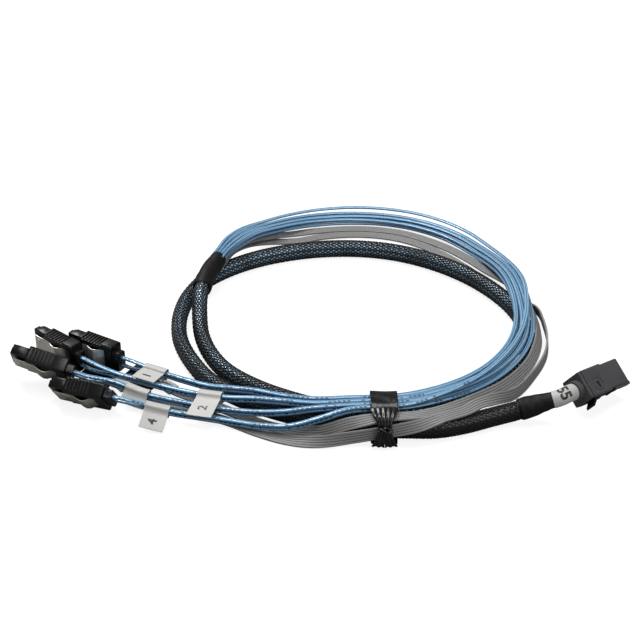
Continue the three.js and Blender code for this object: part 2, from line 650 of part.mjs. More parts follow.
function sidebandTerminal() {
  const half = cavitySize / 2 - clearance;
  const back = sidebandLength - cavityDepth + clearance;
  return plateAcrossY(polygon([
    [back, -half * 0.6], [back + 1.8, -half], [back + terminalLength, -half],
    [back + terminalLength, half * 0.2], [back + 3.9, half], [back + 3.2, half + 0.25],
    [back + 2.2, half], [back + 1.8, half], [back, half * 0.4],
  ]), 2 * half);
}

function buildSideband(place, number) {
  const holder = placedGroup(`sideband_${number}`, place);
  addPiece(`sideband_${number}_housing`, sidebandHousing(), 'dullBlack', holder);
  const z = ((sidebandRows - 1) / 2) * sidebandPitch;
  for (let way = 0; way < sidebandWays; way += 1) {
    const y = (way - (sidebandWays - 1) / 2) * sidebandPitch;
    const terminal = sidebandTerminal().translate(0, y, z);
    addPiece(`sideband_${number}_terminal_${way + 1}`, terminal, 'gold', holder);
  }
  return holder;
}

const plug = buildPlug();
const sataHolders = sataPlaces.map((place, index) => buildSata(place, index + 1));
const sidebandHolders = sidebandPlaces.map((place, index) => buildSideband(place, index + 1));

// Heat shrink from the plug's collar to the sleeve, with the label round its narrow start
const shrinkPoints = [
  pointFrom(plug, [-rearCollarLength - clearance, 0, 0]),
  pointFrom(plug, [-rearCollarLength - 3.4, 0, 0]),
  ...shrinkRoute,
];
addPiece('plug_heat_shrink', cord(shrinkPoints, ellipse(1, 1), shrinkSteps, {
  scales: [shrinkNarrow, shrinkNarrow, shrinkNarrow, 7.2, 8, shrinkWide, shrinkWide], segments: 5,
}), 'shrinkBlack');
const shrinkRun = lengthOf(shrinkPoints);
addPiece('plug_label', cord(shrinkPoints, ringOf(ellipse, shrinkNarrow, shrinkNarrow), 5, {
  from: clearance / shrinkRun, to: (clearance + plugLabelLength) / shrinkRun, segments: 5,
}), 'paper');

addPiece('braided_sleeve', cord(sleeveRoute, ellipse(sleeveWidth, sleeveHeight), sleeveSteps, { segments: 5 }), 'braid');
addPiece('breakout_heat_shrink', cord(
  breakoutRoute, ellipse(breakoutWidth, breakoutHeight), breakoutSteps, { segments: 5, scales: [1, 1.04, 1] },
), 'shrinkBlack');

// A point beside the breakout's open end: ahead along it, out to the left and up
function breakoutPoint(ahead, left, up) {
  const end = new THREE.Vector3(...breakoutRoute[breakoutRoute.length - 1]);
  const before = new THREE.Vector3(...breakoutRoute[breakoutRoute.length - 2]);
  const along = end.clone().sub(before).normalize();
  const side = new THREE.Vector3(0, 0, 1).cross(along).normalize();
  const lift = along.clone().cross(side);
  return end.addScaledVector(along, ahead).addScaledVector(side, left).addScaledVector(lift, up).toArray();
}

// Left-hand direction in plan at each entry of a route
function leftOf(route, index) {
  const before = route[Math.max(index - 1, 0)];
  const after = route[Math.min(index + 1, route.length - 1)];
  const run = Math.hypot(after[0] - before[0], after[1] - before[1]);
  return [-(after[1] - before[1]) / run, (after[0] - before[0]) / run];
}

// Where the cords leave the breakout, beside and above each other
const exitColumnPitch = 1.65;
const exitLayerGap = 2.35;
const exitHeight = 0.9;
const exitRoll = 90;
const pairLayerGap = 1.65;

// One of the eight flat cords: its column from the outside of the coil, and its layer
function twinaxRoute(column, layer) {
  const points = [];
  const rolls = [];
  const exitLeft = (1.5 - column) * exitColumnPitch;
  for (const ahead of [clearance, 5]) {
    points.push(breakoutPoint(ahead, exitLeft, exitHeight + layer * exitLayerGap / 2));
    rolls.push(exitRoll);
  }
  bundleRoute.forEach(([x, y, z, pitch, stagger, gap, roll], index) => {
    const [leftX, leftY] = leftOf(bundleRoute, index);
    const left = (1.5 - column) * pitch + layer * stagger / 2;
    points.push([x + leftX * left, y + leftY * left, z + layer * gap / 2]);
    rolls.push(roll);
  });
  for (const [x, y, z] of legRoutes[column]) {
    points.push([x, y, z + layer * pairLayerGap / 2]);
    rolls.push(0);
  }
  const rear = -gripLength - bootLength;
  for (const back of [6, 2.4, clearance]) {
    points.push(pointFrom(sataHolders[column], [rear - back, -layer * twinaxPairPitch / 2, 0]));
    rolls.push(0);
  }
  return { points, rolls };
}

const twinaxSection = ellipse(twinaxWidth, twinaxThickness);
for (let column = 0; column < sataHolders.length; column += 1) {
  for (const [layer, side] of [[-1, 'lower'], [1, 'upper']]) {
    const { points, rolls } = twinaxRoute(column, layer);
    addPiece(`twinax_${column + 1}_${side}`, cord(points, twinaxSection, twinaxSteps, { rolls, segments: 4 }), 'blue');
  }
}

// Ribbon cables, from under the flat cords at the breakout to their connectors
const ribbonSection = chamferedRectangle(ribbonWidth, ribbonThickness, ribbonChamfer);
const ribbonExitHeights = [-1.9, -3.15];
function ribbonPath(index) {
  const route = ribbonRoutes[index];
  const height = ribbonExitHeights[index];
  const points = [breakoutPoint(clearance, 0, height), breakoutPoint(5, 0, height)];
  points.push(...route.map(([x, y, z]) => [x, y, z]));
  points.push(pointFrom(sidebandHolders[index], [-5, 0, 0]));
  points.push(pointFrom(sidebandHolders[index], [2 - clearance, 0, 0]));
  return { points, rolls: [0, 0, ...route.map((entry) => entry[3]), 0, 0] };
}
ribbonRoutes.forEach((route, index) => {
  const { points, rolls } = ribbonPath(index);
  addPiece(`ribbon_${index + 1}`, cord(points, ribbonSection, ribbonSteps, { rolls, segments: 1 }), 'grey');
});

// Wrap labels on the ribbons, close to their connectors
ribbonRoutes.forEach((route, index) => {
  const { points } = ribbonPath(index);
  const run = lengthOf(points);
  const setback = ribbonLabelSetbacks[index];
  addPiece(`ribbon_label_${index + 1}`, cord(points, ringOf(chamferedRectangle, ribbonWidth, ribbonThickness, ribbonChamfer), 3, {
    from: 1 - (setback + ribbonLabelLength) / run, to: 1 - setback / run, segments: 1,
  }), 'paper');
});

// Flag label: a loop round a stacked pair with both ends stuck together as a tail
function flagSection({ tail, height, slope }) {
  const innerX = twinaxWidth / 2 + clearance + flagSlack;
  const innerY = (pairLayerGap + twinaxThickness) / 2 + clearance + flagSlack;
  const [outerX, outerY] = [innerX + labelThickness, innerY + labelThickness];
  const angle = THREE.MathUtils.degToRad(slope);
  const [tipX, tipY] = [outerX + tail * Math.cos(angle), height + tail * Math.sin(angle)];
  const section = polygon([
    [-outerX, -outerY], [outerX, -outerY], [outerX, height - labelThickness],
    [tipX, tipY - labelThickness], [tipX, tipY + labelThickness],
    [outerX, height + labelThickness], [outerX, outerY], [-outerX, outerY],
  ]);
  section.holes.push(polygon([
    [-innerX, -innerY], [-innerX, innerY], [innerX, innerY], [innerX, -innerY],
  ]));
  return section;
}

flags.forEach((flag, column) => {
  const middle = twinaxRoute(column, 0).points.slice(2);
  const run = lengthOf(middle);
  addPiece(`sata_label_${column + 1}`, cord(middle, flagSection(flag), 4, {
    from: 1 - (flag.setback + flagLength) / run, to: 1 - flag.setback / run,
  }), 'paper');
});

// Wrapped tie: a gathered band round the bundle, pinched to a knot in front, with two tails
function wrappedTie() {
  const loop = new THREE.CatmullRomCurve3(
    tieLoop.map(([y, z]) => new THREE.Vector3(y, z, 0)), true, 'centripetal',
  );
  const inner = loop.getSpacedPoints(36).slice(0, -1);
  const outer = inner.map((point, index) => {
    const before = inner[(index + inner.length - 1) % inner.length];
    const after = inner[(index + 1) % inner.length];
    const along = after.clone().sub(before).normalize();
    return new THREE.Vector2(point.x + along.y * tieThickness, point.y - along.x * tieThickness);
  });
  const band = new THREE.Shape(outer);
  band.holes.push(new THREE.Path(inner.map((point) => new THREE.Vector2(point.x, point.y))));
  const geometry = barAlongX(band, -tieWidth / 2, tieWidth / 2);
  const position = geometry.attributes.position;
  for (let i = 0; i < position.count; i += 1) {
    const reach = Math.hypot(position.getY(i) - tieKnot[0], position.getZ(i) - tieKnot[1]);
    const gather = THREE.MathUtils.smoothstep(reach, 1.5, 9);
    position.setX(i, position.getX(i) * THREE.MathUtils.lerp(tieWaist / tieWidth, 1, gather));
  }
  const knot = barAlongX(roundedRectangle(1.8, 3.6, 0.6), -tieWaist / 2 - 0.3, tieWaist / 2 + 0.3, 2)
    .translate(0, tieKnot[0], tieKnot[1]);
  const tails = [-1, 1].map((side) => {
    const outline = polygon([
      [side * 0.3, 0], [side * 2.2, 0], [side * 5.8, -tieTailLength], [side * 1.2, -tieTailLength],
    ].sort(() => 0));
    const options = { depth: tieThickness, bevelEnabled: false };
    return new THREE.ExtrudeGeometry(outline, options)
      .rotateX(Math.PI / 2 - 0.42).translate(0, tieKnot[0] + 0.2, tieKnot[1] - 0.8);
  });
  return carve([geometry, knot, ...tails]).translate(tieAt, 0, 0);
}
addPiece('wrapped_tie', wrappedTie(), 'glossBlack');

export default harness;
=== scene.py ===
"""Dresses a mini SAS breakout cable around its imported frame.

Metres, Z up, in the frame's own place: the coil lies on z = 0, the plug is at +X and the
SATA connectors are at -X. Every cord follows the same chosen points as its plain solid.
"""
import json
import logging
import math
from dataclasses import dataclass, field
from enum import Enum

import bmesh
import bpy
import numpy as np
from mathutils import Matrix, Vector

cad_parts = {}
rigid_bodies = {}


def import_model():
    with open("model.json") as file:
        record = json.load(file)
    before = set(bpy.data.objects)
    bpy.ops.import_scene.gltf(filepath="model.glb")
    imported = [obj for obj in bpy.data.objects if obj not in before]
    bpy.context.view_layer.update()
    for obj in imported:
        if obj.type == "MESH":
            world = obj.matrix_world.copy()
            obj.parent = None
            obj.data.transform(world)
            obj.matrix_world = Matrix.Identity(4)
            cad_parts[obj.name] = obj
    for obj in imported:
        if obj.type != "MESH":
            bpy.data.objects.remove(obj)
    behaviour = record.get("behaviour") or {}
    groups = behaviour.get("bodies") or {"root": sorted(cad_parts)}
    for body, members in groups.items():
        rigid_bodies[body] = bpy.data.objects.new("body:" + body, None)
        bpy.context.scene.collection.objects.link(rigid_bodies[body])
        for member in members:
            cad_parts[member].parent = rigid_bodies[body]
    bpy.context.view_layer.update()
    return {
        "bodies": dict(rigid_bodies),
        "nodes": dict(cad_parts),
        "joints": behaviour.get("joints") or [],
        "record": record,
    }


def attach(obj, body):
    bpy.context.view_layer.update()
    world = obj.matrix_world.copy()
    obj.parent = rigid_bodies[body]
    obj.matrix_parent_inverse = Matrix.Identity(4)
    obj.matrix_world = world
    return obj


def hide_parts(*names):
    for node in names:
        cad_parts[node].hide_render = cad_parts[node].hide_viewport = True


LOG = logging.getLogger("breakout_cable")
MM = 0.001
ROOT = "harness"
Colour = tuple[float, float, float]
Point = tuple[float, float, float]


def srgb(red: int, green: int, blue: int) -> Colour:
    """Returns the linear colour of three screen values from 0 to 255."""
    def linear(value: int) -> float:
        """Returns one channel on the linear scale."""
        share = value / 255
        return share / 12.92 if share <= 0.04045 else ((share + 0.055) / 1.055) ** 2.4
    return linear(red), linear(green), linear(blue)


# ---------------------------------------------------------------- lines and placed frames

@dataclass
class Stations:
    """Places along a line, each with its frame.

    Attributes:
        point: centre of each place, in metres.
        along: unit vector forward at each place.
        across: unit vector to the left, rolled with the cord.
        upward: unit vector square to both.
        run: distance from the line's start, in metres.
    """
    point: np.ndarray
    along: np.ndarray
    across: np.ndarray
    upward: np.ndarray
    run: np.ndarray


class Centreline:
    """A smooth centripetal line through chosen points, upright unless rolled."""

    DIVISIONS = 40

    def __init__(self, points_mm: list[Point], rolls: tuple[float, ...] = (0.0, 0.0)) -> None:
        """Builds the line.

        Args:
            points_mm: the chosen points, in millimetres.
            rolls: turns about the line in degrees, spread evenly over its points.
        """
        chosen = np.array(points_mm, float) * MM
        self.rolls = np.radians(np.array(rolls, float))
        self.count = len(chosen)
        self.guide = np.vstack([2 * chosen[0] - chosen[1], chosen, 2 * chosen[-1] - chosen[-2]])
        self.share = np.linspace(0, 1, self.DIVISIONS * self.count + 1)
        steps = np.linalg.norm(np.diff(self._at(self.share)[0], axis=0), axis=1)
        self.run = np.concatenate([[0], np.cumsum(steps)])

    @property
    def length(self) -> float:
        """Returns the line's length in metres."""
        return float(self.run[-1])

    def _at(self, share: np.ndarray) -> tuple[np.ndarray, np.ndarray]:
        """Returns the points and unit directions at shares of the way through the list."""
        place = np.clip(share, 0, 1) * (self.count - 1)
        index = np.minimum(place.astype(int), self.count - 2)
        weight = (place - index)[:, None]
        p0, p1, p2, p3 = (self.guide[index + k] for k in range(4))
        gaps = [np.maximum(np.sqrt(np.linalg.norm(b - a, axis=1)), 1e-6)[:, None]
                for a, b in ((p0, p1), (p1, p2), (p2, p3))]
        start = ((p1 - p0) / gaps[0] - (p2 - p0) / (gaps[0] + gaps[1]) + (p2 - p1) / gaps[1]) * gaps[1]
        end = ((p2 - p1) / gaps[1] - (p3 - p1) / (gaps[1] + gaps[2]) + (p3 - p2) / gaps[2]) * gaps[1]
        square = -3 * p1 + 3 * p2 - 2 * start - end
        cube = 2 * p1 - 2 * p2 + start + end
        point = p1 + start * weight + square * weight ** 2 + cube * weight ** 3
        slope = start + 2 * square * weight + 3 * cube * weight ** 2
        return point, slope / np.linalg.norm(slope, axis=1)[:, None]

    def stations(self, steps: int, first: float = 0.0, last: float | None = None) -> Stations:
        """Places evenly spaced between two distances.

        Args:
            steps: how many steps lie between the first and the last place.
            first: distance of the first place, in metres.
            last: distance of the last place, or None for the line's end.

        Returns:
            The stations with their rolled frames.
        """
        run = np.linspace(first, self.length if last is None else last, steps + 1)
        share = np.interp(run, self.run, self.share)
        point, along = self._at(share)
        side = np.cross([0.0, 0.0, 1.0], along)
        side /= np.linalg.norm(side, axis=1)[:, None]
        lift = np.cross(along, side)
        roll = np.interp(share, np.linspace(0, 1, len(self.rolls)), self.rolls)[:, None]
        across = side * np.cos(roll) + lift * np.sin(roll)
        upward = lift * np.cos(roll) - side * np.sin(roll)
        return Stations(point, along, across, upward, run)


@dataclass(frozen=True)
class Placement:
    """Where a rigid piece lies: a point in millimetres, then turns about Z, Y and X."""
    at: Point
    yaw: float
    pitch: float
    roll: float

    @property
    def matrix(self) -> Matrix:
        """Returns the placement as a matrix in metres."""
        turns = (Matrix.Rotation(math.radians(angle), 4, axis)
                 for angle, axis in ((self.yaw, "Z"), (self.pitch, "Y"), (self.roll, "X")))
        whole = Matrix.Translation(Vector(self.at) * MM)
        for turn in turns:
            whole = whole @ turn
        return whole

    def point(self, local: Point) -> Point:
        """Returns a local point, in millimetres, out in the frame."""
        return tuple(self.matrix @ (Vector(local) * MM) / MM)


# ---------------------------------------------------------------- sizes and routes, as the solids have them

CLEARANCE = 0.3
PLUG = Placement((106, -74.4, 10.9), 39.5, 6, 37)
SATA = (
    Placement((-102.9, -69.6, 7.9), 161.4, 0, 234),
    Placement((-122.2, -52.5, 12.2), 168, -13.9, 234),
    Placement((-116.5, -34.6, 7.4), 140, 0, 270),
    Placement((-101, -36.8, 7.4), 148.2, 0, 270),
)
SIDEBAND = (
    Placement((-69, -55.8, 2.4), 150, 0, 0),
    Placement((-88.4, -55.2, 2.4), 155, 0, 0),
)
SATA_REAR = -20.0
SHRINK_ROUTE = [
    (98.1, -79.6, 10.7), (93, -80, 9.2), (87.4, -80.4, 7.4), (81.9, -81.4, 6.1),
]
SLEEVE_ROUTE = [
    (81.2, -81.6, 5.9), (76, -82.9, 5.2), (70.5, -84.7, 4.8), (58.5, -89.4, 4.5), (47.5, -92.6, 4.8),
    (36.5, -93.2, 5.2), (26.3, -92.7, 5.2), (12.5, -89.9, 4.8), (-1.5, -86.1, 4.4), (-16.5, -79.9, 4.4),
    (-30.5, -72, 4.4), (-45, -59.6, 4.4), (-54.5, -43.6, 4.4), (-60.5, -27.8, 4.4), (-62.5, -13.8, 4.4),
    (-62.1, -1, 4.4), (-59.5, 11.3, 4.4), (-53.3, 25, 4.4), (-42.7, 36.6, 4.4), (-27.4, 46.7, 4.4),
    (-6.5, 54, 4.4), (14.6, 56, 4.4), (32, 53.5, 4.4), (47, 47.5, 4.4), (60, 39, 4.4), (72.5, 27, 4.4),
    (83.4, 11.3, 4.4), (89.6, -3.6, 4.4), (92, -18.5, 4.4), (91.3, -34.2, 4.4), (86.2, -49.4, 4.4),
    (76.5, -62.5, 4.4), (63.5, -73.2, 4.4), (51, -80.2, 4.7), (38.5, -84.3, 5.1), (26.3, -84.9, 5.2),
    (10.5, -82, 4.8), (-8.5, -74, 4.4), (-25.5, -64, 4.4), (-39, -51.5, 4.4), (-47, -37.5, 4.5),
    (-51.7, -23, 5.2), (-53.3, -11, 8), (-53.6, -1.5, 11.5), (-53.2, 3.4, 12.5),
]
# where the sleeve runs on inside the two heat shrinks
SLEEVE_TUCKS = ((83.3, -81.1, 6.5), (-52.9, 5.7, 12.95))
BREAKOUT_ROUTE = [
    (-53.1, 4.2, 12.7), (-52.6, 8.5, 13.2), (-51.7, 13, 13.5), (-49.7, 21.5, 13.6), (-46.9, 29.5, 13.6),
]
# x, y, middle height, column pitch, stagger, layer gap, roll
BUNDLE_ROUTE = [
    (-40.9, 44.2, 14.3, 2.3, 0, 2.4, 60), (-33.7, 59, 11.5, 2.8, 0.3, 1.9, 25),
    (-24.1, 72.4, 7.5, 3.1, 0.8, 1.7, 0), (-12.8, 83.2, 4.6, 3.3, 1.3, 1.65, 0),
    (0.5, 90.6, 2.7, 3.4, 1.6, 1.65, 0), (15.5, 93.6, 2, 3.4, 1.7, 1.65, 0),
    (31, 92.6, 1.9, 3.3, 1.6, 1.65, 0), (46, 88, 2, 3.2, 1.6, 1.65, 0),
    (59, 80, 2.3, 3.1, 1.5, 1.65, 0), (69.5, 69, 3, 3, 1.4, 1.65, 0),
    (77.5, 55.5, 4.2, 2.8, 1.2, 1.65, 0), (83.7, 40.5, 6.8, 2.6, 1, 1.65, 0),
    (88.1, 25, 9.5, 2.5, 0.8, 1.65, 0), (90.5, 9.5, 10.8, 2.4, 0.5, 1.65, 0),
    (91.4, -6, 10.8, 2.35, 0.2, 1.65, 0), (90.6, -22, 10.8, 2.35, 0, 1.65, 0),
    (87.1, -37, 10.8, 2.35, 0, 1.65, 0), (80.3, -50.8, 10.8, 2.35, 0, 1.65, 0),
    (70.9, -62.4, 10.8, 2.35, 0, 1.65, 0), (59.3, -71.6, 10.9, 2.35, 0, 1.65, 0),
    (47, -78.4, 11.2, 2.35, 0, 1.65, 0), (36, -82.6, 11.5, 2.35, 0, 1.6, 0),
    (26.3, -84.1, 11.5, 2.35, 0, 1.6, 0),
]
LEG_ROUTES = [
    [(12.5, -89, 11.3), (0.5, -91.6, 8.8), (-11.5, -92.2, 5.4), (-23.5, -89.6, 3.7), (-35.5, -86.2, 3.4),
     (-47.5, -83, 3.4), (-59.5, -80.6, 3.9), (-70.5, -78.6, 5.6)],
    [(12.5, -86.4, 11.4), (-1.5, -87.2, 10.7), (-13.5, -86.4, 8.4), (-25.5, -83.3, 5.9), (-37.5, -80, 4.7),
     (-49.5, -76.5, 4.4), (-61.5, -72.8, 4.5), (-73.5, -68.5, 5), (-85.5, -63.4, 6.9)],
    [(12.5, -83.8, 11.4), (-1.5, -84.2, 10.9), (-14.5, -82.2, 10.7), (-26.5, -78.8, 9.5),
     (-37.5, -75.5, 7.6), (-49.5, -71.5, 6.6), (-61.5, -67, 6.4), (-73.5, -62, 6.6), (-85.5, -57, 7)],
    [(12.5, -81.2, 11.4), (-1.5, -81.2, 10.9), (-14.5, -78.8, 10.8), (-26.5, -74.8, 10.7),
     (-36.5, -71.6, 9.7), (-46.5, -67, 7.8), (-57.5, -61.6, 7.5), (-68.5, -56, 7.7)],
]
# x, y, height, roll
RIBBON_ROUTES = [
    [(-41.7, 42.8, 11.4, 0), (-34.1, 56.2, 8.7, 0), (-24.1, 67, 5, 0), (-11.9, 75, 2.1, 0),
     (1.5, 80.3, 1.1, 0), (16, 82.2, 0.9, 0), (29.5, 81.2, 0.9, 0), (42, 77.4, 0.9, 0),
     (53, 70.6, 1, 0), (63.1, 60.6, 1.8, 0), (72.1, 48, 3, 0), (80.1, 34, 4.4, 0),
     (87.7, 20, 5.8, -20), (93.4, 6, 6.9, -45), (96.4, -8, 6.9, -58), (96.7, -21.5, 7, -60),
     (95, -34.6, 7.8, -54), (89.1, -51, 8, -50), (78.9, -65.2, 8, -50), (65.7, -76.2, 8.3, -45),
     (52.5, -85.4, 9.4, -15), (39.5, -91.2, 10.4, 0), (26.3, -92.9, 10.5, 0), (12.5, -94, 8.3, -48),
     (0.5, -93.2, 3.8, -55), (-11.5, -89.2, 1.3, -15), (-22.5, -84.3, 0.9, 0), (-35, -76.5, 0.9, 0),
     (-47, -68.8, 0.9, 0), (-57.5, -62.8, 1.1, 0), (-60.4, -61.2, 1.4, 0)],
    [(-42.4, 42, 10.1, 0), (-35.5, 54, 7.3, 0), (-25.1, 63.6, 3.7, 0), (-10.9, 69.2, 1.2, 0),
     (2.1, 74.2, 0.9, 0), (16, 76.2, 0.9, 0), (29, 75.2, 0.9, 0), (40.5, 71.5, 0.9, 0),
     (50.9, 65, 0.9, 0), (60.5, 55.4, 0.9, 0), (69.7, 43.4, 0.9, 0), (78.9, 29.6, 1.2, -5),
     (88.8, 15, 1.9, -25), (99.2, 1.5, 2.7, -78), (100.9, -11, 3.2, -84), (100.8, -24, 3.2, -84),
     (98.3, -37, 3.2, -84), (91.3, -52.4, 3.5, -84), (81.9, -67, 4.4, -75), (71.5, -77.6, 8.7, -42),
     (65.5, -82.6, 10.4, -20), (59.5, -87.4, 10.2, -12), (49.5, -92.6, 10.3, -10), (39.1, -96.7, 8.9, -52),
     (26.3, -97.2, 6.3, -80), (12.5, -97.8, 4, -75), (0.5, -98.2, 2.4, -48), (-11.5, -95.9, 1.3, -12),
     (-23.5, -90.6, 0.9, 0), (-35, -83.6, 0.9, 0), (-46.5, -77.6, 0.9, 0), (-58.5, -72, 0.9, 0),
     (-69, -67.6, 0.9, 0), (-78, -62.8, 1.2, 0)],
]
TIE_LOOP = [
    (-96.3, 0.75), (-93, 0.6), (-89.3, 0.6), (-85.6, 0.6), (-82.6, 0.75), (-80.5, 2.6), (-79.2, 6.4),
    (-77.9, 10.4), (-78.3, 12.7), (-80.6, 13.9), (-87.6, 13.9), (-90, 12.8), (-95.6, 12), (-98, 10),
    (-98.7, 7), (-98.7, 3.6), (-98, 1.6),
]
TIE_KNOT = (-99.5, 9.0)
TIE_AT = 26.3


# ---------------------------------------------------------------- node trees

class Sketch:
    """A short way to fill a node tree."""

    def __init__(self, tree: bpy.types.NodeTree) -> None:
        """Keeps the tree that is filled."""
        self.tree = tree

    def add(self, kind: str, inputs: dict | None = None, **settings: object) -> bpy.types.Node:
        """Adds a node.

        Args:
            kind: the node's type.
            inputs: socket name or number to a value or to another node's output.
            settings: the node's own properties.

        Returns:
            The new node.
        """
        node = self.tree.nodes.new(kind)
        for name, value in settings.items():
            setattr(node, name, value)
        for name, value in (inputs or {}).items():
            if isinstance(value, bpy.types.NodeSocket):
                self.tree.links.new(value, node.inputs[name])
            else:
                node.inputs[name].default_value = value
        return node

    def math(self, operation: str, *values: object) -> bpy.types.NodeSocket:
        """Returns the result of a sum on numbers or sockets."""
        inputs = dict(enumerate(values))
        return self.add("ShaderNodeMath", inputs, operation=operation).outputs[0]

    def vector(self, operation: str, *values: object) -> bpy.types.NodeSocket:
        """Returns the result of a vector sum."""
        inputs = {(3 if operation == "SCALE" and i == 1 else i): v for i, v in enumerate(values)}
        return self.add("ShaderNodeVectorMath", inputs, operation=operation).outputs[0]

    def ramp(self, value: bpy.types.NodeSocket, stops: list[tuple[float, Colour]]) -> bpy.types.NodeSocket:
        """Returns a colour picked along a list of stops."""
        node = self.add("ShaderNodeValToRGB", {0: value})
        stop_list = node.color_ramp.elements
        while len(stop_list) < len(stops):
            stop_list.new(1.0)
        for element, (place, colour) in zip(stop_list, stops):
            element.position = place
            element.color = (*colour, 1.0)
        return node.outputs[0]

    def mix(self, share: object, first: object, second: object) -> bpy.types.NodeSocket:
        """Returns a blend of two colours."""
        node = self.add("ShaderNodeMix", data_type="RGBA")
        for index, value in ((0, share), (6, first), (7, second)):
            if isinstance(value, bpy.types.NodeSocket):
                self.tree.links.new(value, node.inputs[index])
            elif index:
                node.inputs[index].default_value = (*value, 1.0)
            else:
                node.inputs[index].default_value = value
        return node.outputs[2]


def node_group(name: str, inputs: dict[str, float], *outputs: str) -> tuple:
    """Makes an empty shader group with number sockets.

    Args:
        name: the group's name.
        inputs: number inputs and their usual values.
        outputs: names of the number outputs.

    Returns:
        The tree, a sketch on it, its input node and its output node.
    """
    tree = bpy.data.node_groups.new(name, "ShaderNodeTree")
    for label, value in inputs.items():
        socket = tree.interface.new_socket(label, in_out="INPUT", socket_type="NodeSocketFloat")
        socket.default_value = value
    for label in outputs:
        tree.interface.new_socket(label, in_out="OUTPUT", socket_type="NodeSocketFloat")
    sketch = Sketch(tree)
    return tree, sketch, sketch.add("NodeGroupInput"), sketch.add("NodeGroupOutput")


def cord_map(sketch: Sketch) -> tuple[bpy.types.NodeSocket, bpy.types.NodeSocket]:
    """Returns the distance along a cord in metres and the share of the way around it."""
    layer = sketch.add("ShaderNodeUVMap", uv_map="cord")
    where = sketch.add("ShaderNodeSeparateXYZ", {0: layer.outputs[0]})
    return where.outputs[0], where.outputs[1]


class Effects:
    """The shader groups that several finishes share."""

    def __init__(self) -> None:
        """Builds each group once."""
        self.grain = self._grain()
        self.wear = self._wear()
        self.lay = self._lay()
        self.print = self._print()

    @staticmethod
    def _grain() -> bpy.types.NodeTree:
        """Returns the fine spark grain of moulded and extruded plastic."""
        tree, sketch, given, result = node_group(
            "moulded_grain", {"Scale": 900.0, "Cloud Scale": 60.0}, "Height", "Cloud")
        place = sketch.add("ShaderNodeTexCoord").outputs["Object"]
        fine = sketch.add("ShaderNodeTexNoise", {"Vector": place, "Scale": given.outputs["Scale"],
                                                 "Detail": 3.0, "Roughness": 0.6})
        cloud = sketch.add("ShaderNodeTexNoise", {"Vector": place, "Scale": given.outputs["Cloud Scale"],
                                                  "Detail": 2.0})
        tree.links.new(fine.outputs["Fac"], result.inputs["Height"])
        tree.links.new(cloud.outputs["Fac"], result.inputs["Cloud"])
        return tree

    @staticmethod
    def _wear() -> bpy.types.NodeTree:
        """Returns sparse handling scuffs as a mask from 0 to 1."""
        tree, sketch, given, result = node_group(
            "handling_scuffs", {"Scale": 240.0, "Amount": 0.3}, "Mask")
        place = sketch.add("ShaderNodeTexCoord").outputs["Object"]
        stretched = sketch.vector("MULTIPLY", place, (1.0, 0.35, 0.6))
        noise = sketch.add("ShaderNodeTexNoise", {"Vector": stretched, "Scale": given.outputs["Scale"],
                                                  "Detail": 5.0, "Roughness": 0.7})
        edge = sketch.math("SUBTRACT", 0.78, sketch.math("MULTIPLY", given.outputs["Amount"], 0.3))
        mask = sketch.add("ShaderNodeMapRange", {"Value": noise.outputs["Fac"], "From Min": edge,
                                                 "From Max": 0.8}, clamp=True)
        tree.links.new(mask.outputs[0], result.inputs["Mask"])
        return tree

    @staticmethod
    def _lay() -> bpy.types.NodeTree:
        """Returns bands across a cord, slanted like a wrapped tape, and lines along it."""
        tree, sketch, given, result = node_group(
            "cord_lay", {"Bands per Metre": 1200.0, "Slant": 1.0, "Lines": 2.0},
            "Bands", "Lines", "Along")
        along, around = cord_map(sketch)
        turn = sketch.math("MULTIPLY", around, given.outputs["Slant"])
        wound = sketch.math("MULTIPLY", along, given.outputs["Bands per Metre"])
        bands = sketch.math("PINGPONG", sketch.math("ADD", wound, turn), 0.5)
        spread = sketch.math("MULTIPLY", around, given.outputs["Lines"])
        lines = sketch.math("PINGPONG", spread, 0.5)
        tree.links.new(sketch.math("MULTIPLY", bands, 2.0), result.inputs["Bands"])
        tree.links.new(sketch.math("MULTIPLY", lines, 2.0), result.inputs["Lines"])
        tree.links.new(along, result.inputs["Along"])
        return tree

    @staticmethod
    def _print() -> bpy.types.NodeTree:
        """Returns rows of plain printed dashes along a cord, as a mask."""
        tree, sketch, given, result = node_group(
            "printed_dashes", {"Dashes per Metre": 520.0, "Group Length": 0.03, "Middle": 0.25,
                               "Height": 0.05, "Shift": 0.0, "Start": 0.0}, "Mask")
        along, around = cord_map(sketch)
        shifted = sketch.math("ADD", along, given.outputs["Shift"])
        cell = sketch.math("MULTIPLY", shifted, given.outputs["Dashes per Metre"])
        index = sketch.math("FLOOR", cell)
        spot = sketch.add("ShaderNodeTexWhiteNoise", {"W": index}, noise_dimensions="1D")
        inked = sketch.math("GREATER_THAN", spot.outputs["Value"], 0.3)
        stroke = sketch.math("LESS_THAN", sketch.math("FRACT", cell), 0.68)
        groups = sketch.math("DIVIDE", shifted, given.outputs["Group Length"])
        group_phase = sketch.math("FRACT", groups)
        group = sketch.math("LESS_THAN", group_phase, 0.62)
        away = sketch.math("ABSOLUTE", sketch.math("SUBTRACT", around, given.outputs["Middle"]))
        band = sketch.math("LESS_THAN", away, given.outputs["Height"])
        begun = sketch.math("GREATER_THAN", along, given.outputs["Start"])
        strokes = sketch.math("MULTIPLY", sketch.math("MULTIPLY", inked, stroke), begun)
        mask = sketch.math("MULTIPLY", strokes, sketch.math("MULTIPLY", group, band))
        tree.links.new(mask, result.inputs["Mask"])
        return tree


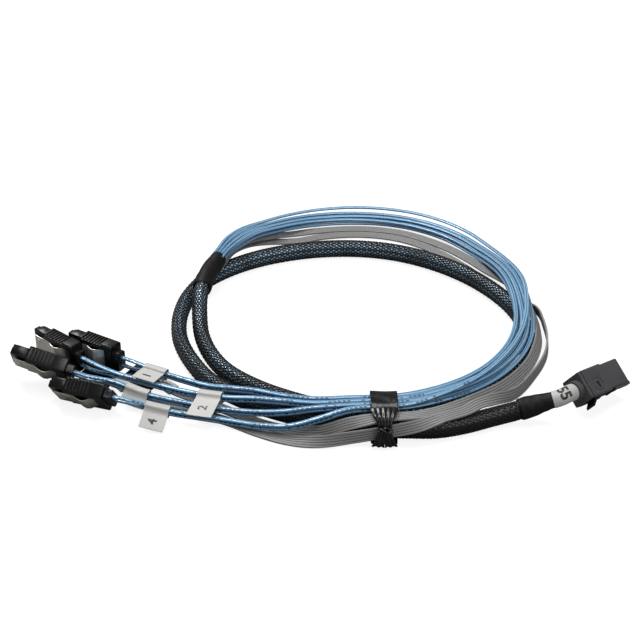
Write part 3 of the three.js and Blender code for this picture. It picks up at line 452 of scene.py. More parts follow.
class Finish:
    """A surface of one kind; each subclass draws its own colour and relief."""

    effects: Effects

    def __init__(self, name: str, roughness: float, metallic: float = 0.0, coat: float = 0.0,
                 specular: float = 0.5) -> None:
        """Starts a material.

        Args:
            name: the material's name.
            roughness: roughness where nothing varies it.
            metallic: 1 for bare metal.
            coat: weight of a clear gloss over it.
            specular: how much light the bare surface reflects.
        """
        self.material = bpy.data.materials.new(name)
        self.material.use_nodes = True
        self.tree = self.material.node_tree
        self.tree.nodes.clear()
        self.sketch = Sketch(self.tree)
        self.shader = self.sketch.add("ShaderNodeBsdfPrincipled", {
            "Roughness": roughness, "Metallic": metallic, "Coat Weight": coat,
            "Coat Roughness": 0.12, "Specular IOR Level": specular})
        output = self.sketch.add("ShaderNodeOutputMaterial")
        self.tree.links.new(self.shader.outputs[0], output.inputs[0])

    def group(self, tree: bpy.types.NodeTree, **values: float) -> bpy.types.Node:
        """Places a shared effect with its own values, underscores standing for spaces."""
        node = self.sketch.add("ShaderNodeGroup", node_tree=tree)
        for name, value in values.items():
            node.inputs[name.replace("_", " ")].default_value = value
        return node

    def colour(self, value: object) -> None:
        """Sets the base colour from a colour or a socket."""
        if isinstance(value, bpy.types.NodeSocket):
            self.tree.links.new(value, self.shader.inputs["Base Color"])
        else:
            self.shader.inputs["Base Color"].default_value = (*value, 1.0)

    def rough(self, low: float, high: float, share: bpy.types.NodeSocket) -> None:
        """Lets the roughness run from low to high with a mask."""
        mapped = self.sketch.add("ShaderNodeMapRange", {
            "Value": share, "To Min": low, "To Max": high}, clamp=True)
        self.tree.links.new(mapped.outputs[0], self.shader.inputs["Roughness"])

    def relief(self, height: bpy.types.NodeSocket, depth: float) -> None:
        """Raises the surface by a height map, depth in metres."""
        bump = self.sketch.add("ShaderNodeBump", {"Height": height, "Distance": depth, "Strength": 1.0})
        self.tree.links.new(bump.outputs[0], self.shader.inputs["Normal"])


class MouldedPlastic(Finish):
    """Moulded plastic with a fine grain, slight cloudiness and light scuffs."""

    def __init__(self, name: str, base: Colour, roughness: float, grain: float = 900.0,
                 depth: float = 0.00003, scuffs: float = 0.3, specular: float = 0.5) -> None:
        """Draws the plastic.

        Args:
            name: the material's name.
            base: its linear colour.
            roughness: its usual roughness.
            grain: grains per metre of the texture's scale.
            depth: height of the grain, in metres.
            scuffs: how much handling shows.
            specular: how much light the bare surface reflects.
        """
        super().__init__(name, roughness, specular=specular)
        grained = self.group(self.effects.grain, Scale=grain, Cloud_Scale=90.0)
        marks = self.group(self.effects.wear, Scale=260.0, Amount=scuffs)
        lighter = tuple(min(1.0, value * 1.45 + 0.006) for value in base)
        darker = tuple(value * 0.8 for value in base)
        cloud = self.sketch.mix(grained.outputs["Cloud"], darker, tuple(value * 1.15 for value in base))
        self.colour(self.sketch.mix(marks.outputs["Mask"], cloud, lighter))
        self.rough(roughness - 0.08, roughness + 0.1, grained.outputs["Cloud"])
        self.relief(grained.outputs["Height"], depth)


class WrappedCord(Finish):
    """Clear blue film wound over a bright shield, with painted highlight and shade stripes around it and
    dashes of dark print.
    """

    def __init__(self, name: str, shift: float, shade: float) -> None:
        """Draws the film.

        Args:
            name: the material's name.
            shift: how far the print is moved along, in metres.
            shade: how much painted shade darkens the cord, from 0 to 1.
        """
        super().__init__(name, 0.28, metallic=0.15, coat=0.8)
        lay = self.group(self.effects.lay, Bands_per_Metre=1500.0, Slant=1.0, Lines=4.0)
        printed = self.group(self.effects.print, Shift=shift, Middle=0.13, Height=0.06, Start=0.33)
        under = self.group(self.effects.print, Shift=shift * 1.7, Middle=0.75, Height=0.065, Start=0.0)
        # Painted highlights and shade: stripes around the cord run from dark to near-white blue.
        lit_and_shaded_stripes = self.sketch.ramp(lay.outputs["Lines"], [
            (0.0, srgb(28, 84, 136)), (0.3, srgb(104, 172, 214)), (0.62, srgb(200, 232, 246)),
            (1.0, srgb(62, 136, 188))])
        banded = self.sketch.mix(
            self.sketch.math("MULTIPLY", lay.outputs["Bands"], 0.2), lit_and_shaded_stripes, srgb(40, 96, 150))
        cloud = self.group(self.effects.grain, Scale=500.0, Cloud_Scale=45.0)
        cloudy = self.sketch.mix(
            self.sketch.math("MULTIPLY", cloud.outputs["Cloud"], 0.2), banded, srgb(60, 120, 172))
        # Painted shade: the whole film is mixed towards dark blue by the cord's shade.
        shaded_film = self.sketch.mix(shade, cloudy, srgb(30, 74, 120))
        ink = self.sketch.math("MAXIMUM", printed.outputs["Mask"], under.outputs["Mask"])
        self.colour(self.sketch.mix(self.sketch.math("MULTIPLY", ink, 0.9), shaded_film, srgb(14, 24, 40)))
        self.rough(0.22, 0.42, lay.outputs["Bands"])
        self.relief(lay.outputs["Bands"], 0.00003)


class RibbonJacket(Finish):
    """Grey jacket over side-by-side cores, with painted shade in its grooves."""

    def __init__(self, name: str) -> None:
        """Draws the jacket; its cores run along the cord's own map."""
        super().__init__(name, 0.46)
        groove_shade = self.sketch.add("ShaderNodeAttribute", attribute_name="groove_shade").outputs["Fac"]
        cloud = self.group(self.effects.grain, Scale=700.0, Cloud_Scale=30.0)
        face = self.sketch.mix(cloud.outputs["Cloud"], srgb(124, 124, 123), srgb(146, 146, 145))
        # Painted shade: the jacket is darkened towards near-black in its grooves.
        self.colour(self.sketch.mix(groove_shade, face, srgb(34, 34, 35)))
        self.rough(0.4, 0.55, cloud.outputs["Cloud"])
        self.relief(cloud.outputs["Height"], 0.00002)


class BraidYarn(Finish):
    """Black monofilament yarn with a fine grain."""

    def __init__(self, name: str) -> None:
        """Draws the yarn."""
        super().__init__(name, 0.42, coat=0.12, specular=0.35)
        grained = self.group(self.effects.grain, Scale=1400.0, Cloud_Scale=160.0)
        self.colour(self.sketch.mix(grained.outputs["Cloud"], srgb(8, 8, 10), srgb(22, 23, 27)))
        self.rough(0.34, 0.52, grained.outputs["Cloud"])
        self.relief(grained.outputs["Height"], 0.00002)


class SleeveCore(Finish):
    """What shows through the braid: blue cords side by side with painted highlights on them and painted
    shade between them, and black towards the plug.
    """

    def __init__(self, name: str, blue_from: float, blue_to: float) -> None:
        """Draws the inner cords.

        Args:
            name: the material's name.
            blue_from: distance along the sleeve where the blue begins to show, in metres.
            blue_to: distance where it shows fully.
        """
        super().__init__(name, 0.3, metallic=0.1, coat=0.4)
        lay = self.group(self.effects.lay, Bands_per_Metre=900.0, Slant=2.0, Lines=9.0)
        # Painted shade between the inner cords and painted highlights on their crests.
        blue = self.sketch.ramp(lay.outputs["Lines"], [
            (0.0, srgb(14, 34, 60)), (0.22, srgb(74, 138, 190)), (0.5, srgb(176, 220, 242)),
            (1.0, srgb(222, 242, 250))])
        cloud = self.group(self.effects.grain, Scale=300.0, Cloud_Scale=55.0)
        patchy = self.sketch.ramp(cloud.outputs["Cloud"], [(0.36, (0.0, 0.0, 0.0)), (0.6, (1.0, 1.0, 1.0))])
        shown = self.sketch.add("ShaderNodeMapRange", {
            "Value": lay.outputs["Along"], "From Min": blue_from, "From Max": blue_to}, clamp=True)
        share = self.sketch.math("MULTIPLY", shown.outputs[0], self.sketch.math("ADD", 0.5, patchy))
        self.colour(self.sketch.mix(self.sketch.math("MINIMUM", share, 1.0), srgb(12, 13, 16), blue))
        self.relief(lay.outputs["Lines"], 0.0002)


class ShrinkTube(Finish):
    """Matt black heat shrink with faint wrinkles."""

    def __init__(self, name: str) -> None:
        """Draws the tube."""
        super().__init__(name, 0.55, specular=0.25)
        grained = self.group(self.effects.grain, Scale=1200.0, Cloud_Scale=220.0)
        marks = self.group(self.effects.wear, Scale=300.0, Amount=0.5)
        base = self.sketch.mix(grained.outputs["Cloud"], srgb(7, 7, 8), srgb(15, 15, 16))
        self.colour(self.sketch.mix(marks.outputs["Mask"], base, srgb(58, 58, 60)))
        self.rough(0.48, 0.66, grained.outputs["Cloud"])
        fine = self.sketch.math("MULTIPLY", grained.outputs["Height"], 0.3)
        total = self.sketch.math("ADD", grained.outputs["Cloud"], fine)
        self.relief(total, 0.00012)


class TieFilm(Finish):
    """Glossy black plastic film, creased where it is gathered."""

    def __init__(self, name: str) -> None:
        """Draws the film."""
        super().__init__(name, 0.24, coat=0.15, specular=0.4)
        grained = self.group(self.effects.grain, Scale=500.0, Cloud_Scale=130.0)
        self.colour(self.sketch.mix(grained.outputs["Cloud"], srgb(4, 4, 5), srgb(12, 12, 13)))
        self.rough(0.2, 0.34, grained.outputs["Cloud"])
        self.relief(grained.outputs["Cloud"], 0.0003)


class LabelFilm(Finish):
    """White wrap-round label film, slightly grey and matt."""

    def __init__(self, name: str) -> None:
        """Draws the film."""
        super().__init__(name, 0.5)
        grained = self.group(self.effects.grain, Scale=1500.0, Cloud_Scale=80.0)
        marks = self.group(self.effects.wear, Scale=200.0, Amount=0.2)
        face = self.sketch.mix(grained.outputs["Cloud"], srgb(180, 179, 176), srgb(197, 196, 193))
        faint = self.sketch.math("MULTIPLY", marks.outputs["Mask"], 0.5)
        self.colour(self.sketch.mix(faint, face, srgb(160, 158, 152)))
        self.relief(grained.outputs["Height"], 0.00002)


class PrintInk(Finish):
    """Black thermal print on the labels."""

    def __init__(self, name: str) -> None:
        """Draws the ink."""
        super().__init__(name, 0.45)
        grained = self.group(self.effects.grain, Scale=1800.0, Cloud_Scale=300.0)
        self.colour(self.sketch.mix(grained.outputs["Cloud"], srgb(6, 6, 7), srgb(18, 18, 20)))


class BareMetal(Finish):
    """Rolled or plated metal with lines drawn along it."""

    def __init__(self, name: str, base: Colour, roughness: float, stretch: Point,
                 metallic: float = 1.0) -> None:
        """Draws the metal.

        Args:
            name: the material's name.
            base: its linear colour.
            roughness: its usual roughness.
            stretch: how the drawn lines are stretched along X, Y and Z.
            metallic: lower where a thin oil film dulls the metal.
        """
        super().__init__(name, roughness, metallic=metallic)
        place = self.sketch.add("ShaderNodeTexCoord").outputs["Object"]
        drawn = self.sketch.add("ShaderNodeTexNoise", {
            "Vector": self.sketch.vector("MULTIPLY", place, stretch), "Scale": 900.0, "Detail": 3.0})
        marks = self.group(self.effects.wear, Scale=320.0, Amount=0.4)
        face = self.sketch.mix(drawn.outputs["Fac"], tuple(v * 0.82 for v in base), base)
        self.colour(self.sketch.mix(marks.outputs["Mask"], face, tuple(v * 0.6 for v in base)))
        self.rough(roughness - 0.08, roughness + 0.12, drawn.outputs["Fac"])
        self.relief(drawn.outputs["Fac"], 0.00002)


class StudioFloor(Finish):
    """Plain pale floor that keeps a soft shadow."""

    def __init__(self, name: str, glow: float) -> None:
        """Draws the floor.

        Args:
            name: the material's name.
            glow: light added for the camera alone, from 0 to 1.
        """
        super().__init__(name, 0.85, specular=0.0)
        self.colour((0.26, 0.26, 0.26))
        seen = self.sketch.add("ShaderNodeLightPath").outputs["Is Camera Ray"]
        strength = self.sketch.math("MULTIPLY", seen, glow)
        added = self.sketch.add("ShaderNodeEmission", {"Strength": strength})
        both = self.sketch.add("ShaderNodeAddShader", {0: self.shader.outputs[0], 1: added.outputs[0]})
        output = next(node for node in self.tree.nodes if node.type == "OUTPUT_MATERIAL")
        self.tree.links.new(both.outputs[0], output.inputs[0])


class Palette:
    """Every finish of the cable, built once."""

    def __init__(self) -> None:
        """Builds the shared effects and then the finishes."""
        Finish.effects = Effects()
        self.plug = MouldedPlastic(
            "plug_plastic", srgb(72, 72, 75), 0.42, grain=1100.0, depth=0.00004).material
        self.connector = MouldedPlastic("connector_plastic", srgb(8, 8, 9), 0.3, specular=0.4).material
        self.block = MouldedPlastic("potting_plastic", srgb(30, 30, 32), 0.6).material
        self.board = MouldedPlastic("board_mask", srgb(24, 70, 40), 0.35, scuffs=0.1).material
        # Painted shade for each cord: the lower cord of each pair gets more than the upper.
        self.cords = [WrappedCord(f"cord_film_{index + 1}", 0.0137 * index, shade).material
                      for index, shade in enumerate((0.34, 0.0, 0.4, 0.2, 0.3, 0.04, 0.42, 0.12))]
        self.ribbon = RibbonJacket("ribbon_jacket").material
        self.yarn = BraidYarn("braid_yarn").material
        self.core = SleeveCore("sleeve_core", 0.09, 0.2).material
        self.shrink = ShrinkTube("shrink_tube").material
        self.tie = TieFilm("tie_film").material
        self.label = LabelFilm("label_film").material
        self.ink = PrintInk("print_ink").material
        self.steel = BareMetal(
            "spring_steel", srgb(226, 221, 211), 0.3, (1.0, 0.2, 0.6), metallic=0.7).material
        self.gold = BareMetal("contact_plating", srgb(214, 176, 98), 0.26, (0.4, 1.0, 1.0)).material
        self.floor = StudioFloor("studio_floor", 0.86).material


# ---------------------------------------------------------------- meshes

def new_piece(name: str, mesh: bpy.types.Mesh, material: bpy.types.Material) -> bpy.types.Object:
    """Puts a mesh in the scene at the origin.

    Args:
        name: the piece's name.
        mesh: its mesh, already in place.
        material: its finish.

    Returns:
        The new object.
    """
    mesh.name = name
    mesh.materials.clear()
    mesh.materials.append(material)
    piece = bpy.data.objects.new(name, mesh)
    bpy.context.scene.collection.objects.link(piece)
    return piece


def sweep(stations: Stations, sections: np.ndarray, grooves: np.ndarray | None = None) -> bpy.types.Mesh:
    """Carries a closed section along a line and caps both ends.

    Args:
        stations: the places of the line.
        sections: one section for all places, or one for each, as across and upward metres.
        grooves: a value for each section point, how much painted shade it gets in the ribbon's grooves,
            kept as a point attribute.

    Returns:
        The mesh, with a "cord" map: metres along, then share of the way around.
    """
    places = len(stations.point)
    if sections.ndim == 2:
        sections = np.repeat(sections[None], places, axis=0)
    sides = sections.shape[1]
    corners = (stations.point[:, None] + stations.across[:, None] * sections[:, :, :1]
               + stations.upward[:, None] * sections[:, :, 1:])
    first = (np.arange(places - 1)[:, None] * sides + np.arange(sides)[None]).ravel()
    second = (np.arange(places - 1)[:, None] * sides + (np.arange(sides)[None] + 1) % sides).ravel()
    faces = np.stack([first, second, second + sides, first + sides], axis=1).tolist()
    faces.append(list(range(sides))[::-1])
    faces.append(list(range((places - 1) * sides, places * sides)))
    mesh = bpy.data.meshes.new("sweep")
    mesh.from_pydata(corners.reshape(-1, 3).tolist(), [], faces)
    layer = mesh.uv_layers.new(name="cord")
    around = np.arange(sides + 1) / sides
    rows = np.repeat(np.arange(places - 1), sides)
    columns = np.tile(np.arange(sides), places - 1)
    steps = ((0, 0), (0, 1), (1, 1), (1, 0))
    quads = np.stack([np.stack([stations.run[rows + ahead], around[columns + turn]], 1)
                      for ahead, turn in steps], axis=1).reshape(-1, 2)
    flat = np.zeros((len(mesh.loops), 2))
    flat[:len(quads)] = quads
    layer.data.foreach_set("uv", flat.ravel())
    if grooves is not None:
        attribute = mesh.attributes.new("groove_shade", "FLOAT", "POINT")
        attribute.data.foreach_set("value", np.tile(grooves, places))
    mesh.shade_smooth()
    mesh.set_sharp_from_angle(angle=math.radians(50))
    mesh.validate()
    outward(mesh)
    return mesh


def enlist(piece: bpy.types.Object, node: str | None = None, body: str = ROOT) -> None:
    """Puts a piece on the body that carries it and hides the solid that it stands for.

    Args:
        piece: the finished piece.
        node: the solid that it takes the place of, if any.
        body: the body that it rides on.
    """
    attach(piece, body)
    if node:
        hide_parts(node)


def outward(mesh: bpy.types.Mesh) -> None:
    """Turns the faces of a closed mesh outwards."""
    work = bmesh.new()
    work.from_mesh(mesh)
    bmesh.ops.recalc_face_normals(work, faces=work.faces)
    work.to_mesh(mesh)
    work.free()


def ellipse(width: float, height: float, sides: int) -> np.ndarray:
    """Returns an oval section, sizes in millimetres."""
    angle = np.linspace(0, 2 * math.pi, sides, endpoint=False)
    return np.stack([np.cos(angle) * width / 2, np.sin(angle) * height / 2], axis=1) * MM


def made_plain(piece: bpy.types.Object) -> bpy.types.Object:
    """Applies a piece's modifiers and takes them off."""
    bpy.context.view_layer.update()
    graph = bpy.context.evaluated_depsgraph_get()
    mesh = bpy.data.meshes.new_from_object(
        piece.evaluated_get(graph), preserve_all_data_layers=True, depsgraph=graph)
    piece.modifiers.clear()
    old, piece.data = piece.data, mesh
    mesh.name = piece.name
    if isinstance(old, bpy.types.Mesh):
        bpy.data.meshes.remove(old)
    return piece


class GeometryTree:
    """A Geometry Nodes tree with named inputs."""

    def __init__(self, name: str, inputs: dict[str, float | int], material: bpy.types.Material) -> None:
        """Starts the tree.

        Args:
            name: the tree's name.
            inputs: its sizes, whole numbers for counts.
            material: what Set Material gives at the end.
        """
        self.tree = bpy.data.node_groups.new(name, "GeometryNodeTree")
        self.tree.interface.new_socket("Geometry", in_out="INPUT", socket_type="NodeSocketGeometry")
        for label, value in inputs.items():
            kind = "NodeSocketInt" if isinstance(value, int) else "NodeSocketFloat"
            self.tree.interface.new_socket(label, in_out="INPUT", socket_type=kind).default_value = value
        self.tree.interface.new_socket("Geometry", in_out="OUTPUT", socket_type="NodeSocketGeometry")
        self.sketch = Sketch(self.tree)
        self.given = self.sketch.add("NodeGroupInput").outputs
        self.result = self.sketch.add("NodeGroupOutput")
        self.material = material

    def finish(self, geometry: bpy.types.NodeSocket) -> None:
        """Ends the tree in Realize Instances and Set Material."""
        real = self.sketch.add("GeometryNodeRealizeInstances", {"Geometry": geometry})
        named = self.sketch.add("GeometryNodeSetMaterial", {
            "Geometry": real.outputs[0], "Material": self.material})
        self.tree.links.new(named.outputs[0], self.result.inputs[0])

    def run(self, piece: bpy.types.Object, values: dict[str, float | int]) -> bpy.types.Object:
        """Runs the tree on a piece and keeps the plain mesh.

        Args:
            piece: the object that the tree works on.
            values: the inputs that differ from their usual values.

        Returns:
            A new mesh object in the piece's place.
        """
        modifier = piece.modifiers.new(self.tree.name, "NODES")
        modifier.node_group = self.tree
        identifiers = {item.name: item.identifier for item in self.tree.interface.items_tree
                       if item.in_out == "INPUT"}
        for label, value in values.items():
            modifier[identifiers[label]] = value
        bpy.context.view_layer.update()
        graph = bpy.context.evaluated_depsgraph_get()
        mesh = bpy.data.meshes.new_from_object(piece.evaluated_get(graph), depsgraph=graph)
        name = piece.name
        bpy.data.objects.remove(piece)
        mesh.name = name
        plain = bpy.data.objects.new(name, mesh)
        bpy.context.scene.collection.objects.link(plain)
        return plain


# ---------------------------------------------------------------- the cable

@dataclass
class RigidPieces:
    """The moulded and stamped solids, with their edges rounded."""
    palette: Palette
    frame: dict
    made: dict[str, bpy.types.Object] = field(default_factory=dict)
    merge: float = 2e-6
    flat_angle: float = 0.8
    edge_angle: float = 32.0

    def body_of(self, node: str) -> str:
        """Returns the body that a node belongs to."""
        bodies = self.frame["record"]["behaviour"]["bodies"]
        return next(body for body, nodes in bodies.items() if node in nodes)

    def soften(self, node: str, radius: float, material: bpy.types.Material) -> bpy.types.Object:
        """Makes a rounded piece that stands for a solid.

        Args:
            node: the solid's name.
            radius: width of the rounding, in millimetres.
            material: its finish.

        Returns:
            The rounded piece.
        """
        work = bmesh.new()
        work.from_mesh(self.frame["nodes"][node].data)
        bmesh.ops.remove_doubles(work, verts=work.verts, dist=self.merge)
        bmesh.ops.dissolve_limit(work, angle_limit=math.radians(self.flat_angle),
                                 verts=work.verts, edges=work.edges)
        mesh = bpy.data.meshes.new(node)
        work.to_mesh(mesh)
        work.free()
        mesh.shade_smooth()
        piece = new_piece(f"{node}_body", mesh, material)
        bevel = piece.modifiers.new("rounding", "BEVEL")
        bevel.width = radius * MM
        bevel.segments = 2
        bevel.limit_method = "ANGLE"
        bevel.angle_limit = math.radians(self.edge_angle)
        bevel.harden_normals = True
        made_plain(piece)
        enlist(piece, node, self.body_of(node))
        self.made[node] = piece
        return piece

    def build(self) -> None:
        """Rounds every rigid solid in turn."""
        look = self.palette
        self.soften("plug_housing", 0.16, look.plug)
        self.soften("plug_rear_cover", 0.14, look.plug)
        self.soften("plug_latch", 0.1, look.connector)
        self.soften("termination_block", 0.15, look.block)
        for side in ("upper", "lower"):
            self.soften(f"paddle_card_{side}", 0.02, look.board)
        for number in range(1, len(SATA) + 1):
            self.soften(f"sata_{number}_grip", 0.16, look.connector)
            self.soften(f"sata_{number}_nose", 0.1, look.connector)
            self.soften(f"sata_{number}_latch_clip", 0.05, look.steel)
        for number in range(1, len(SIDEBAND) + 1):
            self.soften(f"sideband_{number}_housing", 0.1, look.connector)
            for way in range(1, 5):
                self.soften(f"sideband_{number}_terminal_{way}", 0.04, look.gold)
        LOG.info("rounded %d rigid pieces", len(self.made))


@dataclass
class BraidedSleeve:
    """The braided sleeve: helical yarns woven over the cords inside."""
    palette: Palette
    width: float = 7.0
    height: float = 8.8
    yarns: int = 16
    turns: int = 15
    yarn_width: float = 0.5
    yarn_thickness: float = 0.16
    weave: float = 0.15
    core_inset: float = 0.47
    core_steps: int = 420

    def __post_init__(self) -> None:
        """Lays the centreline, run on at both ends into the heat shrink."""
        self.line = Centreline([SLEEVE_TUCKS[0], *SLEEVE_ROUTE, SLEEVE_TUCKS[1]])

    def braid_tree(self) -> GeometryTree:
        """Returns the tree that winds one set of yarns around a route.

        Each yarn is a copy of a straight line, carried onto the route and turned around it.
        It rises and dips once for each pair of yarns that it crosses.
        """
        build = GeometryTree("woven_braid", {
            "Yarns": self.yarns, "Places": 449, "Direction": 1.0, "Turns": 14.0, "Half Width": 0.0033,
            "Half Height": 0.0042, "Weave": 0.0002, "Yarn Width": 0.0009, "Yarn Thickness": 0.0002,
        }, self.palette.yarn)
        sketch, given = build.sketch, build.given
        straight = sketch.add("GeometryNodeCurvePrimitiveLine", {"End": (1.0, 0.0, 0.0)})
        evened = sketch.add("GeometryNodeResampleCurve", {
            "Curve": straight.outputs[0], "Count": given["Places"]})
        copies = sketch.add("GeometryNodeDuplicateElements", {
            "Geometry": evened.outputs[0], "Amount": given["Yarns"]}, domain="SPLINE")
        share = sketch.add("GeometryNodeSplineParameter").outputs["Factor"]
        route = sketch.add("GeometryNodeSampleCurve", {"Curves": given["Geometry"], "Factor": share},
                           mode="FACTOR", use_all_curves=True)
        forward = route.outputs["Tangent"]
        side = sketch.vector("NORMALIZE", sketch.vector("CROSS_PRODUCT", (0.0, 0.0, 1.0), forward))
        lift = sketch.vector("CROSS_PRODUCT", forward, side)
        start = sketch.math("DIVIDE", copies.outputs["Duplicate Index"], given["Yarns"])
        wound = sketch.math("MULTIPLY", sketch.math("MULTIPLY", given["Turns"], share), given["Direction"])
        angle = sketch.math("MULTIPLY", sketch.math("ADD", wound, start), 2 * math.pi)
        cosine, sine = sketch.math("COSINE", angle), sketch.math("SINE", angle)
        out_side = sketch.vector("SCALE", side, sketch.math("DIVIDE", cosine, given["Half Width"]))
        out_lift = sketch.vector("SCALE", lift, sketch.math("DIVIDE", sine, given["Half Height"]))
        outside = sketch.vector("NORMALIZE", sketch.vector("ADD", out_side, out_lift))
        cycles = sketch.math("MULTIPLY", sketch.math("MULTIPLY", given["Turns"], given["Yarns"]), share)
        wave = sketch.math("COSINE", sketch.math("MULTIPLY", cycles, 2 * math.pi))
        rise = sketch.math("MULTIPLY", sketch.math("MULTIPLY", wave, given["Direction"]), given["Weave"])
        on_side = sketch.vector("SCALE", side, sketch.math("MULTIPLY", cosine, given["Half Width"]))
        on_lift = sketch.vector("SCALE", lift, sketch.math("MULTIPLY", sine, given["Half Height"]))
        oval = sketch.vector("ADD", on_side, on_lift)
        ring = sketch.vector("ADD", oval, sketch.vector("SCALE", outside, rise))
        position = sketch.vector("ADD", route.outputs["Position"], ring)
        placed = sketch.add("GeometryNodeSetPosition", {
            "Geometry": copies.outputs[0], "Position": position})
        turned = sketch.add("GeometryNodeSetCurveNormal", {"Curve": placed.outputs[0]}, mode="FREE")
        build.tree.links.new(outside, turned.inputs["Normal"])
        profile = sketch.add("GeometryNodeCurvePrimitiveQuadrilateral", {
            "Width": given["Yarn Thickness"], "Height": given["Yarn Width"]})
        swept = sketch.add("GeometryNodeCurveToMesh", {
            "Curve": turned.outputs[0], "Profile Curve": profile.outputs[0], "Fill Caps": True})
        build.finish(swept.outputs[0])
        return build

    def route_curve(self, name: str) -> bpy.types.Object:
        """Returns the sleeve's route as a fine polyline object."""
        places = self.line.stations(600)
        data = bpy.data.curves.new(name, "CURVE")
        data.dimensions = "3D"
        spline = data.splines.new("POLY")
        spline.points.add(len(places.point) - 1)
        spline.points.foreach_set("co", np.hstack([places.point, np.ones((len(places.point), 1))]).ravel())
        piece = bpy.data.objects.new(name, data)
        bpy.context.scene.collection.objects.link(piece)
        return piece

    def build(self) -> None:
        places = self.line.stations(self.core_steps)
        inner = ellipse(self.width - 2 * self.core_inset, self.height - 2 * self.core_inset, 32)
        core = new_piece("sleeve_core", sweep(places, inner), self.palette.core)
        tree = self.braid_tree()
        for name, direction in (("braid_left", -1.0), ("braid_right", 1.0)):
            yarns = tree.run(self.route_curve(name), {
                "Yarns": self.yarns, "Places": 2 * self.turns * self.yarns + 1, "Direction": direction,
                "Turns": float(self.turns), "Weave": self.weave * MM,
                "Half Width": (self.width / 2 - self.weave - self.yarn_thickness / 2) * MM,
                "Half Height": (self.height / 2 - self.weave - self.yarn_thickness / 2) * MM,
                "Yarn Width": self.yarn_width * MM, "Yarn Thickness": self.yarn_thickness * MM})
            enlist(yarns)
        enlist(core, "braided_sleeve")
        LOG.info("sleeve %.3f m, %d yarns", self.line.length, 2 * self.yarns)


@dataclass
class ShrinkTubes:
    """Heat shrink at the plug and at the breakout."""
    palette: Palette
    narrow: float = 6.4
    wide: float = 9.2
    breakout_width: float = 7.6
    breakout_height: float = 8.4
    wall: float = 0.55
    sides: int = 48

    def plug_line(self) -> Centreline:
        """Returns the cord's line from the plug's collar to the sleeve."""
        return Centreline([PLUG.point((-2.5, 0, 0)), PLUG.point((-5.6, 0, 0)), *SHRINK_ROUTE])

    def wrinkled(self, sections: np.ndarray, depth: float, seed: int) -> np.ndarray:
        """Adds soft lengthwise and crosswise wrinkles to sections.

        Args:
            sections: one section for each place.
            depth: the deepest wrinkle, in millimetres.
            seed: picks the wrinkles.

        Returns:
            The wrinkled sections.
        """
        draw = np.random.default_rng(seed)
        places, sides = sections.shape[:2]
        along = np.linspace(0, 1, places)[:, None]
        angle = np.linspace(0, 2 * math.pi, sides, endpoint=False)[None]
        total = np.zeros((places, sides))
        for _ in range(9):
            waves, turns = draw.uniform(1, 6), draw.integers(1, 6)
            lengthwise = np.sin(waves * 2 * math.pi * along + draw.uniform(0, 6.3))
            total += lengthwise * np.cos(turns * angle + draw.uniform(0, 6.3))
        swell = 1 + total[:, :, None] / 9 * depth * MM / (self.narrow * MM / 2)
        return sections * swell

    def build(self) -> None:
        """Makes both tubes."""
        line = self.plug_line()
        places = line.stations(110)
        share = np.linspace(0, 1, 111)
        grown = np.interp(share, np.linspace(0, 1, 7), [
            self.narrow, self.narrow, self.narrow, 7.2, 8.2, self.wide, self.wide])
        grown[-3:] -= (0.1, 0.25, 0.5)
        unit = ellipse(1, 1, self.sides)
        tube = new_piece("plug_shrink_tube", sweep(places, self.wrinkled(
            unit[None] * grown[:, None, None], 0.22, 5)), self.palette.shrink)
        enlist(tube, "plug_heat_shrink")
        self.build_breakout()
        LOG.info("heat shrink %.1f mm at the plug", line.length / MM)

    def build_breakout(self) -> None:
        """Makes the breakout's tube, open at the end where the cords come out."""
        places = Centreline(BREAKOUT_ROUTE).stations(70)
        swell = np.interp(np.linspace(0, 1, 71), [0, 0.04, 0.5, 0.96, 1], [1.1, 1.13, 1.07, 1, 0.97])
        outer = ellipse(self.breakout_width, self.breakout_height, self.sides)[None] * swell[:, None, None]
        outer = self.wrinkled(outer, 0.25, 11)
        back = 11
        inner_scale = 1 - 2 * self.wall / self.breakout_width
        inner = outer[-1:] * np.linspace(inner_scale, inner_scale * 0.9, back)[:, None, None]
        order = np.concatenate([np.arange(71), np.arange(70, 70 - back, -1)])
        looped = Stations(*(values[order] for values in vars(places).values()))
        tube = new_piece("breakout_tube", sweep(looped, np.vstack([outer, inner])), self.palette.shrink)
        enlist(tube, "breakout_heat_shrink")


class Layer(Enum):
    """Which of a pair's two cords."""
    LOWER = -1
    UPPER = 1
    MIDDLE = 0


